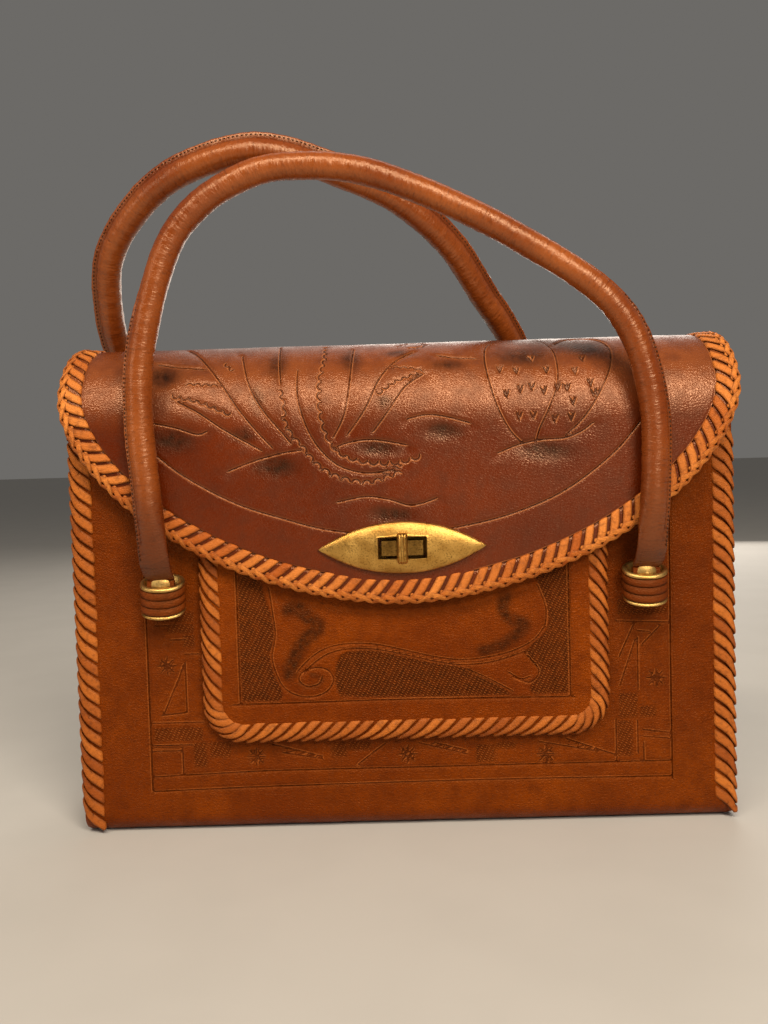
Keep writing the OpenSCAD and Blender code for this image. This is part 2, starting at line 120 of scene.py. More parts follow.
def ripple(x: Array, v: Array, size: float, seed: int) -> Array:
    """Soft irregular waves, the same on each run.

    Args:
        x, v: places in millimetres.
        size: length of the longest wave.
        seed: picks one of many patterns.
    Returns:
        Heights of about -1 to 1.
    """
    rng = np.random.default_rng(seed)
    total = np.zeros(np.broadcast(x, v).shape)
    for octave in range(5):
        angle, phase = rng.uniform(0, 2 * math.pi, 2)
        wave = 2 * math.pi * (1 + 0.6 * octave) / size
        total += np.sin((x * math.cos(angle) + v * math.sin(angle)) * wave + phase) / (1 + octave)
    return total / 2


def ease(value: Array | float) -> Array | float:
    """Smooth step from 0 to 1."""
    k = np.clip(value, 0, 1)
    return k * k * (3 - 2 * k)


# Sizes from the frame


def box(node: str) -> list[Array]:
    """Lowest and highest corner of a CAD node, in millimetres."""
    return [np.array(corner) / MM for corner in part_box(node)]


class BagSizes:
    """Main sizes of the bag, in millimetres.

    Attributes:
        leather: thickness of the body leather.
        fold_r: radius of the folds at the base.
        body_half, half_d, wall_h: half width, half depth and height of the body.
    """

    def __init__(self) -> None:
        """Read the body's box."""
        self.leather, self.fold_r = 2.4, 8.0
        self.body_half, self.half_d, self.wall_h = box("body")[1]


class FlapShape:
    """The flap as one sheet, with the run measured down from the arch's front.

    The run is the distance along the middle of the leather: positive on the
    front, negative over the arch and down the back.

    Attributes:
        leather: thickness of the leather.
        ear_half: half width where it is widest.
        front_y, wall_h: depth of its face, and height where the arch starts.
        arch_r, arch_y, arch_len: radius of the arch, depth of its middle, and length.
        ear_run, tip_run, seam_run: run where it is widest, at its tip and at its sewn end.
    """

    EAR_RISE, FULLNESS = 16.0, 1.78
    SEAM_HALF, SEAM_DROP = 132.0, 24.0

    def __init__(self) -> None:
        """Read the flap's and the body's boxes."""
        low, high = box("flap")
        self.leather = 2.4
        self.ear_half, self.front_y, self.wall_h = high[0], low[1], box("body")[1][2]
        self.arch_r = (high[1] - low[1] - self.leather) / 2
        self.arch_y = (high[1] + low[1]) / 2
        self.arch_len = math.pi * self.arch_r
        self.ear_run = -self.arch_r * math.asin(self.EAR_RISE / self.arch_r)
        self.tip_run = self.wall_h - low[2]
        self.seam_run = -self.arch_len - self.SEAM_DROP

    def half(self, run: Array) -> Array:
        """Half width of the outline at a run."""
        down = np.clip((run - self.ear_run) / (self.tip_run - self.ear_run), 0, 1)
        up = np.clip((run - self.ear_run) / (self.seam_run - self.ear_run), 0, 1)
        front = self.ear_half * (1 - down ** self.FULLNESS) ** (1 / self.FULLNESS)
        back = self.SEAM_HALF + (self.ear_half - self.SEAM_HALF) * np.cos(math.pi / 2 * up)
        return np.where(run > self.ear_run, front, back)

    def face(self, run: Array) -> Array:
        """Outward direction of the leather at a run, as x, y, z."""
        angle = np.clip(-run / self.arch_r, 0, math.pi)
        return np.stack([np.zeros_like(angle), -np.cos(angle), np.sin(angle)], -1)

    def place(self, x: Array, run: Array, out: Array) -> Array:
        """Point of the sheet, out from the middle of the leather."""
        angle = np.clip(-run / self.arch_r, 0, math.pi)
        past = np.where(run > 0, run, np.where(run < -self.arch_len, -run - self.arch_len, 0))
        normal = self.face(run)
        y = self.arch_y - self.arch_r * np.cos(angle) + out * normal[..., 1]
        z = self.wall_h + self.arch_r * np.sin(angle) - past + out * normal[..., 2]
        return np.stack([np.broadcast_to(x, y.shape), y, z], -1)


# Tooling: what is cut and stamped into the leather


@dataclass(frozen=True)
class Stroke:
    """A knife cut along a smooth line, pressed down on one side of it.

    Attributes:
        points: points of the line.
        depth, width: size of the groove.
        bevel: depth of the slope beside it, on the side that its sign gives.
        dye: how dark the groove is.
        weight: how broad its drawn line is.
    """

    points: tuple[Point, ...] = ()
    depth: float = 0.55
    width: float = 0.55
    bevel: float = 0.4
    dye: float = 0.5
    weight: float = 1.0


@dataclass(frozen=True)
class Scallops:
    """A row of small arcs along a smooth line, humped to one side of it."""

    points: tuple[Point, ...]
    pitch: float
    side: int


@dataclass(frozen=True)
class Smudge:
    """A soft patch of dark dye, pressed in a little; the wide faint one on the pocket is a painted shadow."""

    centre: Point
    radii: Point
    turn: float = 0.0
    strength: float = 0.8
    sink: float = 0.0


@dataclass(frozen=True)
class Smear:
    """A brushed line of dark dye."""

    points: tuple[Point, ...]
    half: float
    strength: float


@dataclass(frozen=True)
class WearAndSheen:
    """A band across the sheet made paler by rubbing from handling, and by a painted sheen where the arch
    turns to the light.
    """

    start: float
    full: float
    end: float
    strength: float = 0.28


@dataclass(frozen=True)
class Ground:
    """An area stamped down with a close hatch."""

    outline: tuple[Point, ...]
    depth: float
    dye: float
    rounded: bool = True


@dataclass(frozen=True)
class Spine:
    """A small V pressed with the corner of a tool."""

    tip: Point
    size: float = 2.4


@dataclass(frozen=True)
class Star:
    """A star of short rays."""

    centre: Point
    size: float = 3.6


Mark = Stroke | Scallops | Smudge | Smear | WearAndSheen | Ground | Spine | Star


class Relief:
    """Tooling of one sheet, pressed point by point into its grid."""

    REACH = 4.0
    ARC = Stroke(depth=0.5, width=0.6, bevel=0.0, dye=0.6, weight=1.1)
    ARC_POINTS, ARC_WIDE, ARC_HIGH = 6, 0.72, 0.55
    SPINE = Stroke(depth=0.6, bevel=0.0, dye=0.9, weight=1.3)
    SPINE_LEAN = 0.42
    RAY = Stroke(depth=0.5, bevel=0.0, dye=0.8)
    RAYS, STAR_HOLLOW = 8, 0.25
    SLOPE_FADE = 2.0
    LIP_RISE, LIP_AT, LIP_WIDE = 0.12, 1.2, 0.5
    DYE_SHARE, DYE_WIDE = 0.55, 1.5
    SMUDGE_EDGE, SMEAR_EDGE = 1.3, 3
    GROUND_EDGE, GROUND_START = 0.9, 0.2
    # Added to a rise, so that it never divides as zero
    LEVEL = 1e-12

    def __init__(self, *marks: Mark) -> None:
        """Keep the marks.

        Args:
            marks: what is cut, stamped and dyed, in the order of the work.
        """
        self.marks = marks

    def press(self, x: Array, v: Array) -> dict[str, Array]:
        """Work out the relief on a grid.

        Args:
            x, v: places on the sheet.
        Returns:
            By name, shaped as the grid: height, dye, hatch, wear_and_sheen (rubbing and painted sheen),
            and the distance to the nearest cut, signed as cut and turned round as close.
        """
        self.spots = np.stack([x.ravel(), v.ravel()], 1)
        count = len(self.spots)
        self.height, self.dye, self.hatch, self.wear_and_sheen = np.zeros((4, count))
        self.cut, self.near = np.full((2, count), self.REACH)
        work = {
            Stroke: self._stroke, Scallops: self._scallops, Spine: self._spine, Star: self._star,
            Smudge: self._smudge, Smear: self._smear, Ground: self._ground, WearAndSheen: self._paler_band,
        }
        for mark in self.marks:
            work[type(mark)](mark)
        found = {
            "height": self.height, "dye": np.clip(self.dye, 0, 1), "hatch": np.clip(self.hatch, 0, 1),
            "wear_and_sheen": self.wear_and_sheen, "cut": self.cut, "close": self.REACH - self.near,
        }
        return {name: values.reshape(x.shape) for name, values in found.items()}

    def _beside(self, line: Array, reach: float) -> tuple[Array, Array, Array]:
        """Numbers of the spots beside a line, with their distance and side."""
        low, high = line.min(0) - reach, line.max(0) + reach
        index = np.flatnonzero(((self.spots > low) & (self.spots < high)).all(1))
        near = self.spots[index]
        best = np.full(len(index), np.inf)
        side = np.zeros(len(index))
        for a, b in zip(line, line[1:]):
            way = b - a
            k = np.clip((near - a) @ way / (way @ way + TINY), 0, 1)
            off = near - a - k[:, None] * way
            far = np.hypot(off[:, 0], off[:, 1])
            closer = far < best
            best = np.where(closer, far, best)
            side = np.where(closer, np.sign(way[0] * off[:, 1] - way[1] * off[:, 0]), side)
        return index, best, side

    def _cut(self, line: Array, mark: Stroke) -> None:
        """Press one cut and the slope beside it.

        Args:
            line: points of the cut.
            mark: how it is cut.
        """
        index, far, side = self._beside(line, self.REACH)
        groove = mark.depth * np.exp(-(far / mark.width) ** 2)
        slope = abs(mark.bevel) * np.exp(-far / self.SLOPE_FADE) * (side * np.sign(mark.bevel) > 0)
        lip = self.LIP_RISE * np.exp(-((far - self.LIP_AT) / self.LIP_WIDE) ** 2)
        self.height[index] = np.minimum(self.height[index], 0) - np.maximum(groove, slope) + lip
        stain = self.DYE_SHARE * mark.dye * np.exp(-(far / (self.DYE_WIDE * mark.width)) ** 2)
        self.dye[index] = np.maximum(self.dye[index], stain)
        fine = far / mark.weight
        closer = fine < self.near[index]
        self.near[index] = np.where(closer, fine, self.near[index])
        self.cut[index] = np.where(closer, side * fine, self.cut[index])

    def _stroke(self, mark: Stroke) -> None:
        """Cut one smooth line."""
        self._cut(smooth_line(mark.points), mark)

    def _scallops(self, mark: Scallops) -> None:
        """Cut the separate arcs of a row."""
        line = even_line(smooth_line(mark.points), mark.pitch)
        turn = np.linspace(0, math.pi, self.ARC_POINTS)
        for a, b in zip(line, line[1:]):
            way = (b - a) / 2
            up = np.array([-way[1], way[0]]) * mark.side
            hump = np.outer(np.sin(turn), up) * self.ARC_HIGH
            self._cut((a + b) / 2 - np.outer(np.cos(turn), way) * self.ARC_WIDE + hump, self.ARC)

    def _spine(self, mark: Spine) -> None:
        """Cut the two sides of a small V."""
        for lean in (-self.SPINE_LEAN, self.SPINE_LEAN):
            top = (mark.tip[0] + lean * mark.size, mark.tip[1] - mark.size)
            self._cut(np.array([mark.tip, top]), self.SPINE)

    def _star(self, mark: Star) -> None:
        """Cut the rays of a star."""
        for ray in range(self.RAYS):
            angle = 2 * math.pi * ray / self.RAYS
            way = np.array([math.cos(angle), math.sin(angle)]) * mark.size
            self._cut(np.array(mark.centre) + np.outer([self.STAR_HOLLOW, 1], way), self.RAY)

    def _smudge(self, mark: Smudge) -> None:
        """Press one soft dark patch."""
        angle = math.radians(mark.turn)
        off = self.spots - mark.centre
        along = (off[:, 0] * math.cos(angle) + off[:, 1] * math.sin(angle)) / mark.radii[0]
        over = (off[:, 1] * math.cos(angle) - off[:, 0] * math.sin(angle)) / mark.radii[1]
        soft = np.exp(-(along ** 2 + over ** 2) ** self.SMUDGE_EDGE)
        self.dye = np.maximum(self.dye, mark.strength * soft)
        self.height = self.height - mark.sink * soft

    def _smear(self, mark: Smear) -> None:
        """Brush dye along a line."""
        index, far, _ = self._beside(smooth_line(mark.points), 2 * mark.half)
        stain = mark.strength * np.exp(-(far / mark.half) ** self.SMEAR_EDGE)
        self.dye[index] = np.maximum(self.dye[index], stain)

    def _ground(self, mark: Ground) -> None:
        """Press one hatched area."""
        outline = mark.outline + mark.outline[:1]
        line = smooth_line(outline) if mark.rounded else np.array(outline)
        inside = np.zeros(len(self.spots), bool)
        for (ax, ay), (bx, by) in zip(line, line[1:]):
            crosses = (ay > self.spots[:, 1]) != (by > self.spots[:, 1])
            at = ax + (self.spots[:, 1] - ay) * (bx - ax) / (by - ay + self.LEVEL)
            inside ^= crosses & (self.spots[:, 0] < at)
        index, far, _ = self._beside(line, self.REACH)
        depth = np.where(inside, 1.0, 0.0)
        depth[index] = np.where(inside[index], ease(far / self.GROUND_EDGE + self.GROUND_START), 0)
        self.height = self.height - mark.depth * depth
        self.dye = np.maximum(self.dye, mark.dye * depth)
        self.hatch = np.maximum(self.hatch, depth)

    def _paler_band(self, mark: WearAndSheen) -> None:
        """Make a band of the sheet paler: rubbing, and a painted sheen."""
        run = self.spots[:, 1]
        rise = ease((run - mark.start) / (mark.full - mark.start))
        self.wear_and_sheen = mark.strength * rise * ease((mark.end - run) / (mark.end - mark.full))


# Meshes


def finish_mesh(name: str, bm: bmesh.types.BMesh, sharp: float) -> Piece:
    """Turn the faces outwards, smooth them and make the object.

    Args:
        name: the piece's name.
        bm: its mesh, which is freed.
        sharp: edges that turn more than this, in degrees, stay sharp.
    Returns:
        The object, linked.
    """
    bmesh.ops.recalc_face_normals(bm, faces=bm.faces)
    for face in bm.faces:
        face.smooth = True
    mesh = bpy.data.meshes.new(name)
    bm.to_mesh(mesh)
    bm.free()
    mesh.set_sharp_from_angle(angle=math.radians(sharp))
    piece = bpy.data.objects.new(name, mesh)
    bpy.context.collection.objects.link(piece)
    return piece


def new_object(
    name: str, vertices: Array, faces: Sequence[Sequence[int]], sharp: float = 50.0,
) -> Piece:
    """Make an object from points in millimetres.

    Args:
        name: the piece's name.
        vertices: points in millimetres.
        faces: vertex numbers of each face.
        sharp: edges that turn more than this, in degrees, stay sharp.
    Returns:
        The object, linked and with its faces turned outwards.
    """
    mesh = bpy.data.meshes.new("sheet")
    mesh.from_pydata((np.asarray(vertices) * MM).tolist(), [], [list(map(int, f)) for f in faces])
    bm = bmesh.new()
    bm.from_mesh(mesh)
    bpy.data.meshes.remove(mesh)
    return finish_mesh(name, bm, sharp)


def loft(name: str, rings: Sequence[Array], closed: bool, sharp: float) -> Piece:
    """Extrude a ring of points on and on through the given rings.

    Args:
        name: the piece's name.
        rings: points of each ring in millimetres, all of one length.
        closed: join the last ring to the first, or else cap both ends.
        sharp: edges that turn more than this, in degrees, stay sharp.
    Returns:
        The object, with its points in the rings' order.
    """
    bm = bmesh.new()
    row = bmesh.ops.create_circle(bm, segments=len(rings[0]), radius=1.0)["verts"]
    first = edges = list(bm.edges)
    for spot, vertex in zip(rings[0], row):
        vertex.co = spot * MM
    for ring in rings[1:]:
        made = bmesh.ops.extrude_edge_only(bm, edges=edges)["geom"]
        fresh = {tuple(v.co): v for v in made if isinstance(v, bmesh.types.BMVert)}
        row = [fresh[tuple(v.co)] for v in row]
        added = set(row)
        edges = [e for e in made if isinstance(e, bmesh.types.BMEdge) and added.issuperset(e.verts)]
        for spot, vertex in zip(ring, row):
            vertex.co = spot * MM
    if closed:
        bmesh.ops.bridge_loops(bm, edges=first + edges)
    else:
        bmesh.ops.contextual_create(bm, geom=first)
        bmesh.ops.contextual_create(bm, geom=edges)
    return finish_mesh(name, bm, sharp)


def add_mask(piece: Piece, name: str, values: Array) -> None:
    """Keep a number for each point of a piece, under a name by which its material reads it."""
    layer = piece.data.attributes.new(name, "FLOAT", "POINT")
    layer.data.foreach_set("value", values)


def settle(piece: Piece, material: Material, slot: str, body: str, *nodes: str) -> None:
    """Give a piece its material, its body and the CAD nodes it stands for.

    Args:
        piece: the new piece.
        material: its material.
        slot: the record's material slot; not used.
        body: the body that it moves with.
        nodes: CAD nodes that it replaces.
    """
    piece.data.materials.append(material)
    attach(piece, body)
    if nodes:
        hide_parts(*nodes)
    LOG.info("%s: %d faces on %s", piece.name, len(piece.data.polygons), body)


@dataclass
class Sheet:
    """A leather sheet of even thickness, with relief on its outer face.

    Attributes:
        name: the piece's name.
        rows: place of each row along the sheet.
        half: half width of each row.
        columns: points across a row.
        place: turns (x, row, out) into points.
        thick: thickness of the leather.
        relief: tooling of the outer face.
        wave: height of the soft unevenness.
        hole: tells which (x, row) lie in a hole.
        coarse: how many fine steps make one step of the plain inner face.
        seed: picks the pattern of the unevenness.
    """

    WAVE_MM = 70
    RIM_REACH, RIM_DROP, RIM_WIDE = 6, 0.5, 0.9

    name: str
    rows: Array
    half: Array
    columns: int
    place: Place
    thick: float
    relief: Relief
    wave: float = 0.15
    hole: Callable[[Array, Array], Array] | None = None
    coarse: int = 8
    seed: int = 1

    def build(self) -> Piece:
        """Make the sheet, closed, with the masks of its tooling.

        Returns:
            The new object.
        """
        across = np.linspace(-1, 1, self.columns)
        x = self.half[:, None] * across
        v = np.repeat(self.rows[:, None], self.columns, 1)
        marks = self.relief.press(x, v)
        height = marks.pop("height")
        rim = np.minimum(self.half[:, None] - np.abs(x), self.RIM_REACH)
        height = height + self.wave * ripple(x, v, self.WAVE_MM, self.seed)
        height = height - self.RIM_DROP * np.exp(-rim / self.RIM_WIDE)
        outer = self.place(x, v, self.thick / 2 + height).reshape(-1, 3)
        count = len(self.rows)
        keep_r = sorted({*range(0, count, self.coarse), count - 1})
        keep_c = sorted({*range(0, self.columns, self.coarse), self.columns - 1})
        pick = np.ix_(keep_r, keep_c)
        inner = self.place(x[pick], v[pick], np.full(x[pick].shape, -self.thick / 2)).reshape(-1, 3)
        faces = self._faces(x, v, keep_r, keep_c)
        piece = new_object(self.name, np.vstack([outer, inner]), faces)
        for name, values in marks.items():
            add_mask(piece, name, np.concatenate([values.ravel(), np.zeros(len(inner))]))
        return piece

    def _faces(self, x: Array, v: Array, keep_r: list[int], keep_c: list[int]) -> list[list[int]]:
        """Faces of the fine outer side, the coarse inner side and the rim."""
        wide, shift, narrow = self.columns, x.size, len(keep_c)
        faces = []
        for rows, cols, stride, base in (
            (list(range(len(self.rows))), list(range(wide)), wide, 0),
            (keep_r, keep_c, narrow, shift),
        ):
            for i in range(len(rows) - 1):
                cx = (x[rows[i]][cols][1:] + x[rows[i + 1]][cols][:-1]) / 2
                cv = np.full(cx.shape, (v[rows[i], 0] + v[rows[i + 1], 0]) / 2)
                gone = self.hole(cx, cv) if self.hole else np.zeros(len(cx), bool)
                for j in np.flatnonzero(~gone):
                    a = base + i * stride + j
                    faces.append([a, a + 1, a + stride + 1, a + stride])
        last_r, last_c = len(keep_r) - 1, narrow - 1
        for k, (a, b) in enumerate(zip(keep_r, keep_r[1:])):
            for col, thin in ((0, 0), (wide - 1, last_c)):
                fine = [i * wide + col for i in range(a, b + 1)]
                faces.append(fine + [shift + (k + 1) * narrow + thin, shift + k * narrow + thin])
        for k, (a, b) in enumerate(zip(keep_c, keep_c[1:])):
            for row, thin in ((0, 0), (len(self.rows) - 1, last_r)):
                fine = [row * wide + j for j in range(a, b + 1)]
                faces.append(fine + [shift + thin * narrow + k + 1, shift + thin * narrow + k])
        return faces


# Materials


class Shader:
    """A Principled material, put together node by node."""

    def __init__(self, name: str) -> None:
        """Start an empty material.

        Args:
            name: the material's name.
        """
        self.material = bpy.data.materials.new(name)
        self.material.use_nodes = True
        self.tree = self.material.node_tree
        self.tree.nodes.clear()
        self.surface = self.node("ShaderNodeBsdfPrincipled")
        out = self.node("ShaderNodeOutputMaterial")
        self.tree.links.new(self.surface.outputs[0], out.inputs[0])
        self.spot = self.node("ShaderNodeTexCoord").outputs["Object"]

    def node(self, kind: str, inputs: dict | None = None, **settings) -> bpy.types.Node:
        """Add a node.

        Args:
            kind: the node's type.
            inputs: values or sockets for its inputs, by name or number.
            settings: the node's own settings.
        Returns:
            The node.
        """
        node = self.tree.nodes.new(kind)
        for key, value in settings.items():
            setattr(node, key, value)
        for key, value in (inputs or {}).items():
            self.feed(node, key, value)
        return node

    def feed(self, node: bpy.types.Node, key: str | int, value: object) -> None:
        """Link a socket or set a value on a node's input."""
        if isinstance(value, bpy.types.NodeSocket):
            self.tree.links.new(value, node.inputs[key])
        elif isinstance(value, tuple) and len(value) == 3 and node.inputs[key].type == "RGBA":
            node.inputs[key].default_value = (*value, 1)
        else:
            node.inputs[key].default_value = value

    def noise(self, size_mm: float, detail: float = 3, spot: Socket | None = None) -> Socket:
        """Noise with features of about a given size."""
        return self.node("ShaderNodeTexNoise", {
            "Vector": spot or self.spot, "Scale": 1 / (size_mm * MM), "Detail": detail,
        }).outputs[0]

    def sum(self, how: str, first: Socket, *others: Socket | float) -> Socket:
        """Join values by one kind of sum, in their order."""
        for other in others:
            first = self.node("ShaderNodeMath", {0: first, 1: other}, operation=how).outputs[0]
        return first

    def times(self, *values: Socket | float) -> Socket:
        """Multiply values."""
        return self.sum("MULTIPLY", *values)

    def plus(self, *values: Socket | float) -> Socket:
        """Add values."""
        return self.sum("ADD", *values)

    def span(
        self, value: Socket, low: float, high: float, to_low: float = 0.0, to_high: float = 1.0,
    ) -> Socket:
        """Stretch a range of values onto another, with both ends held."""
        ends = {1: low, 2: high, 3: to_low, 4: to_high}
        return self.node("ShaderNodeMapRange", {0: value, **ends}).outputs[0]

    def mix(self, part: Socket, a: Socket | Colour, b: Socket | Colour) -> Socket:
        """Mix two colours."""
        node = self.node("ShaderNodeMix", data_type="RGBA")
        for key, value in ((0, part), (6, a), (7, b)):
            self.feed(node, key, value)
        return node.outputs[2]

    def mask(self, name: str) -> Socket:
        """A mask kept on the mesh."""
        return self.node("ShaderNodeAttribute", attribute_name=name).outputs["Fac"]

    def turned(self, degrees: float, stretch: Sequence[float] = (1, 1, 1)) -> Socket:
        """Object places turned about the front-to-back axis and stretched."""
        return self.node("ShaderNodeMapping", {
            "Vector": self.spot, "Rotation": (0, math.radians(degrees), 0), "Scale": tuple(stretch),
        }).outputs[0]

    def finish(
        self, colour: Socket, roughness: Socket | float, height: Socket, depth_mm: float,
        **inputs: float | Colour,
    ) -> Material:
        """Wire up the surface.

        Args:
            colour: socket of the colour.
            roughness: socket, or one value for the whole surface.
            height: socket of the bump's height.
            depth_mm: depth of the bump.
            inputs: other inputs of the surface, with _ for spaces.
        Returns:
            The material.
        """
        relief = {"Height": height, "Distance": depth_mm * MM, "Strength": 1.0}
        bump = self.node("ShaderNodeBump", relief)
        wires = {"Base Color": colour, "Roughness": roughness, "Normal": bump.outputs[0]}
        wires.update({key.replace("_", " "): value for key, value in inputs.items()})
        for key, value in wires.items():
            self.feed(self.surface, key, value)
        return self.material


@dataclass(frozen=True)
class LeatherFinish:
    """How one leather of the bag looks.

    Attributes:
        base, light, deep: the tones that its mottling moves between.
        dye, wear_and_painted_light: the stain in the tooling, and the paler tone of rubbing, which also
            paints the sheen band.
        line: how strongly the stain shows in a cut.
        sheen: tint of the reflection.
        grain_depth: depth of the grain, in millimetres.
        crease: strength of the creases.
    """

    name: str
    base: Colour
    light: Colour
    deep: Colour
    dye: Colour = srgb(40, 12, 2)
    wear_and_painted_light: Colour = srgb(176, 96, 40)
    line: float = 0.6
    sheen: Colour = (1.0, 0.62, 0.34)
    specular: float = 0.35
    roughness: float = 0.42
    coat: float = 0.0
    grain_depth: float = 0.1
    crease: float = 2.0

    BROAD_MM, MOTTLE_MM, PATCH_MM, BREAK_MM, FINE_MM = 45, 7, 3, 5, 0.35
    GRAIN_MM, CREASE_MM, CREASE_SHAPE = 1.1, 1.0, (0.5, 1, 1.3)
    GROOVE_MM, LIP_MM, STAMP_MM = 0.26, 0.12, 0.4
    SHOWN_FROM, SHOWN_FULL = Relief.REACH - 1.15, Relief.REACH - 0.55
    # Hatched lines: angle and pitch
    HATCHES, HATCH_WAVE = ((62, 1.0), (-28, 1.7)), 0.314
    COAT_ROUGHNESS = 0.28

    def material(self) -> Material:
        """Make the material.

        Returns:
            Leather with grain, mottling, dye in the tooling and stamped hatch.
        """
        s = Shader(self.name)
        mottle, hatch = s.noise(self.MOTTLE_MM, 5), s.mask("hatch")
        groove, lip = self._cuts(s)
        stamp = self._stamp(s)
        fine = s.noise(self.FINE_MM, 2)
        crease = s.noise(self.CREASE_MM, 4, s.turned(0, self.CREASE_SHAPE))
        colour = self._tones(s, mottle)
        colour = s.mix(s.times(lip, 0.6), colour, self.wear_and_painted_light)
        colour = s.mix(s.times(groove, self.line), colour, self.dye)
        colour = s.mix(s.span(crease, 0.5, 0.66, 0, 0.2 * self.crease), colour, self.deep)
        colour = s.mix(s.span(fine, 0.5, 0.75, 0, 0.25), colour, self.light)
        lightened = s.times(s.span(stamp, 0.3, 0.9), 0.42)
        colour = s.mix(s.times(hatch, lightened), colour, self.wear_and_painted_light)
        height = s.plus(self._grain(s), s.times(fine, 0.35), s.times(crease, self.crease))
        height = s.plus(height, s.times(stamp, hatch, self.STAMP_MM / self.grain_depth))
        height = s.plus(height, s.times(lip, self.LIP_MM / self.grain_depth))
        height = s.sum("SUBTRACT", height, s.times(groove, self.GROOVE_MM / self.grain_depth))
        rough = s.plus(s.span(mottle, 0.3, 0.7, -0.07, 0.1), self.roughness, s.times(hatch, 0.15))
        return s.finish(
            colour, rough, height, self.grain_depth, Coat_Weight=self.coat,
            Coat_Roughness=self.COAT_ROUGHNESS, Specular_IOR_Level=self.specular, Specular_Tint=self.sheen)

    def _tones(self, s: Shader, mottle: Socket) -> Socket:
        """Mottled leather, made paler by rubbing and by a painted sheen band, and stained by the masks."""
        broad = s.noise(self.BROAD_MM, 4)
        colour = s.mix(s.span(broad, 0.35, 0.7), self.base, self.light)
        colour = s.mix(s.span(mottle, 0.45, 0.75, 0, 0.55), colour, self.deep)
        # Painted sheen, with rubbing: the wear_and_sheen mask paints a band paler.
        lightened = s.times(s.mask("wear_and_sheen"), s.span(mottle, 0.35, 0.7, 1.0, 0.5))
        colour = s.mix(lightened, colour, self.wear_and_painted_light)
        patches = s.span(s.noise(self.PATCH_MM, 4), 0.3, 0.62, 0.55, 1.0)
        return s.mix(s.times(s.mask("dye"), patches), colour, self.dye)

    def _cuts(self, s: Shader) -> tuple[Socket, Socket]:
        """The groove of each cut, and the lip that stands up beside it."""
        off = s.mask("cut")
        shown = s.span(s.mask("close"), self.SHOWN_FROM, self.SHOWN_FULL)
        groove = s.times(s.span(s.times(off, off), 0, 0.12, 1, 0), shown)
        groove = s.times(groove, s.span(s.noise(self.BREAK_MM, 3), 0.35, 0.6, 0.45, 1.0))
        away = s.sum("ABSOLUTE", off, 0.0)
        lip = s.times(s.span(away, 0.25, 0.5), s.span(away, 0.5, 1.0, 1, 0), shown)
        return groove, s.times(lip, s.span(off, -0.2, 0.2, 0.3, 1.0))

    def _grain(self, s: Shader) -> Socket:
        """Close cells of the grain."""
        cells = s.node("ShaderNodeTexVoronoi", {
            "Vector": s.spot, "Scale": 1 / (self.GRAIN_MM * MM), "Randomness": 1.0,
        }, feature="DISTANCE_TO_EDGE")
        return s.span(cells.outputs[0], 0.0, 0.25)

    def _stamp(self, s: Shader) -> Socket:
        """Two crossed rows of lines, as a hatching stamp leaves them."""
        lines = [
            s.node("ShaderNodeTexWave", {
                "Vector": s.turned(angle), "Scale": self.HATCH_WAVE / (pitch * MM), "Distortion": 2.6,
                "Detail": 2.0, "Detail Scale": 1.4,
            }).outputs[1]
            for angle, pitch in self.HATCHES
        ]
        return s.times(lines[0], s.span(lines[1], 0.15, 0.75))


@dataclass(frozen=True)
class LaceFinish:
    """Flat lace, with each stitch a little different, and painted shade along its edges."""

    name: str = "calf_lace"
    pale: Colour = srgb(226, 136, 58)
    base: Colour = srgb(174, 84, 22)
    wear_and_painted_light: Colour = srgb(92, 38, 8)

    BUMP_MM, SHEEN = 0.35, (1.0, 0.7, 0.45)

    def material(self) -> Material:
        """Make the material from each stitch's own tone mask and its edge mask of painted shade."""
        s = Shader(self.name)
        colour = s.mix(s.mask("tone"), self.base, self.pale)
        colour = s.mix(s.span(s.noise(2.2, 5), 0.5, 0.72, 0, 0.5), colour, self.wear_and_painted_light)
        # Painted shade: the edge mask darkens the sides, the ends and the underside of each strand.
        colour = s.mix(s.times(s.mask("edge"), 0.75), colour, self.wear_and_painted_light)
        height = s.plus(s.noise(0.5, 4), s.times(s.noise(2.0, 2), 0.8))
        rough = s.span(s.noise(1.5, 3), 0.3, 0.7, 0.4, 0.62)
        return s.finish(
            colour, rough, height, self.BUMP_MM, Specular_IOR_Level=0.4, Specular_Tint=self.SHEEN)


@dataclass(frozen=True)
class RollFinish:
    """Handle leather, with fine wrinkles round the roll."""

    name: str = "wrinkled_roll"
    base: Colour = srgb(116, 49, 10)
    light: Colour = srgb(148, 74, 25)
    deep: Colour = srgb(62, 15, 0)

    BUMP_MM, SHEEN, ROUND = 0.3, (1.0, 0.68, 0.44), 0.0016

    def material(self) -> Material:
        """Make the material from the along and around masks of a roll."""
        s = Shader(self.name)
        round_it = s.times(s.mask("around"), self.ROUND)
        place = s.node("ShaderNodeCombineXYZ", {0: s.mask("along"), 1: round_it}).outputs[0]
        wrinkle, crease = s.noise(1.0, 3, place), s.noise(3.2, 3, place)
        colour = s.mix(s.span(s.noise(40, 3), 0.35, 0.68), self.base, self.light)
        colour = s.mix(s.span(wrinkle, 0.55, 0.75, 0, 0.5), colour, self.deep)
        # The dye mask darkens the roll: painted shade in the crease beside the seam, and darker towards the
        # feet.
        colour = s.mix(s.times(s.mask("dye"), 0.9), colour, self.deep)
        height = s.plus(wrinkle, s.times(crease, 0.8), s.times(s.noise(0.4, 2), 0.25))
        rough = s.span(crease, 0.3, 0.7, 0.22, 0.36)
        return s.finish(
            colour, rough, height, self.BUMP_MM, Specular_IOR_Level=0.8, Specular_Tint=self.SHEEN)


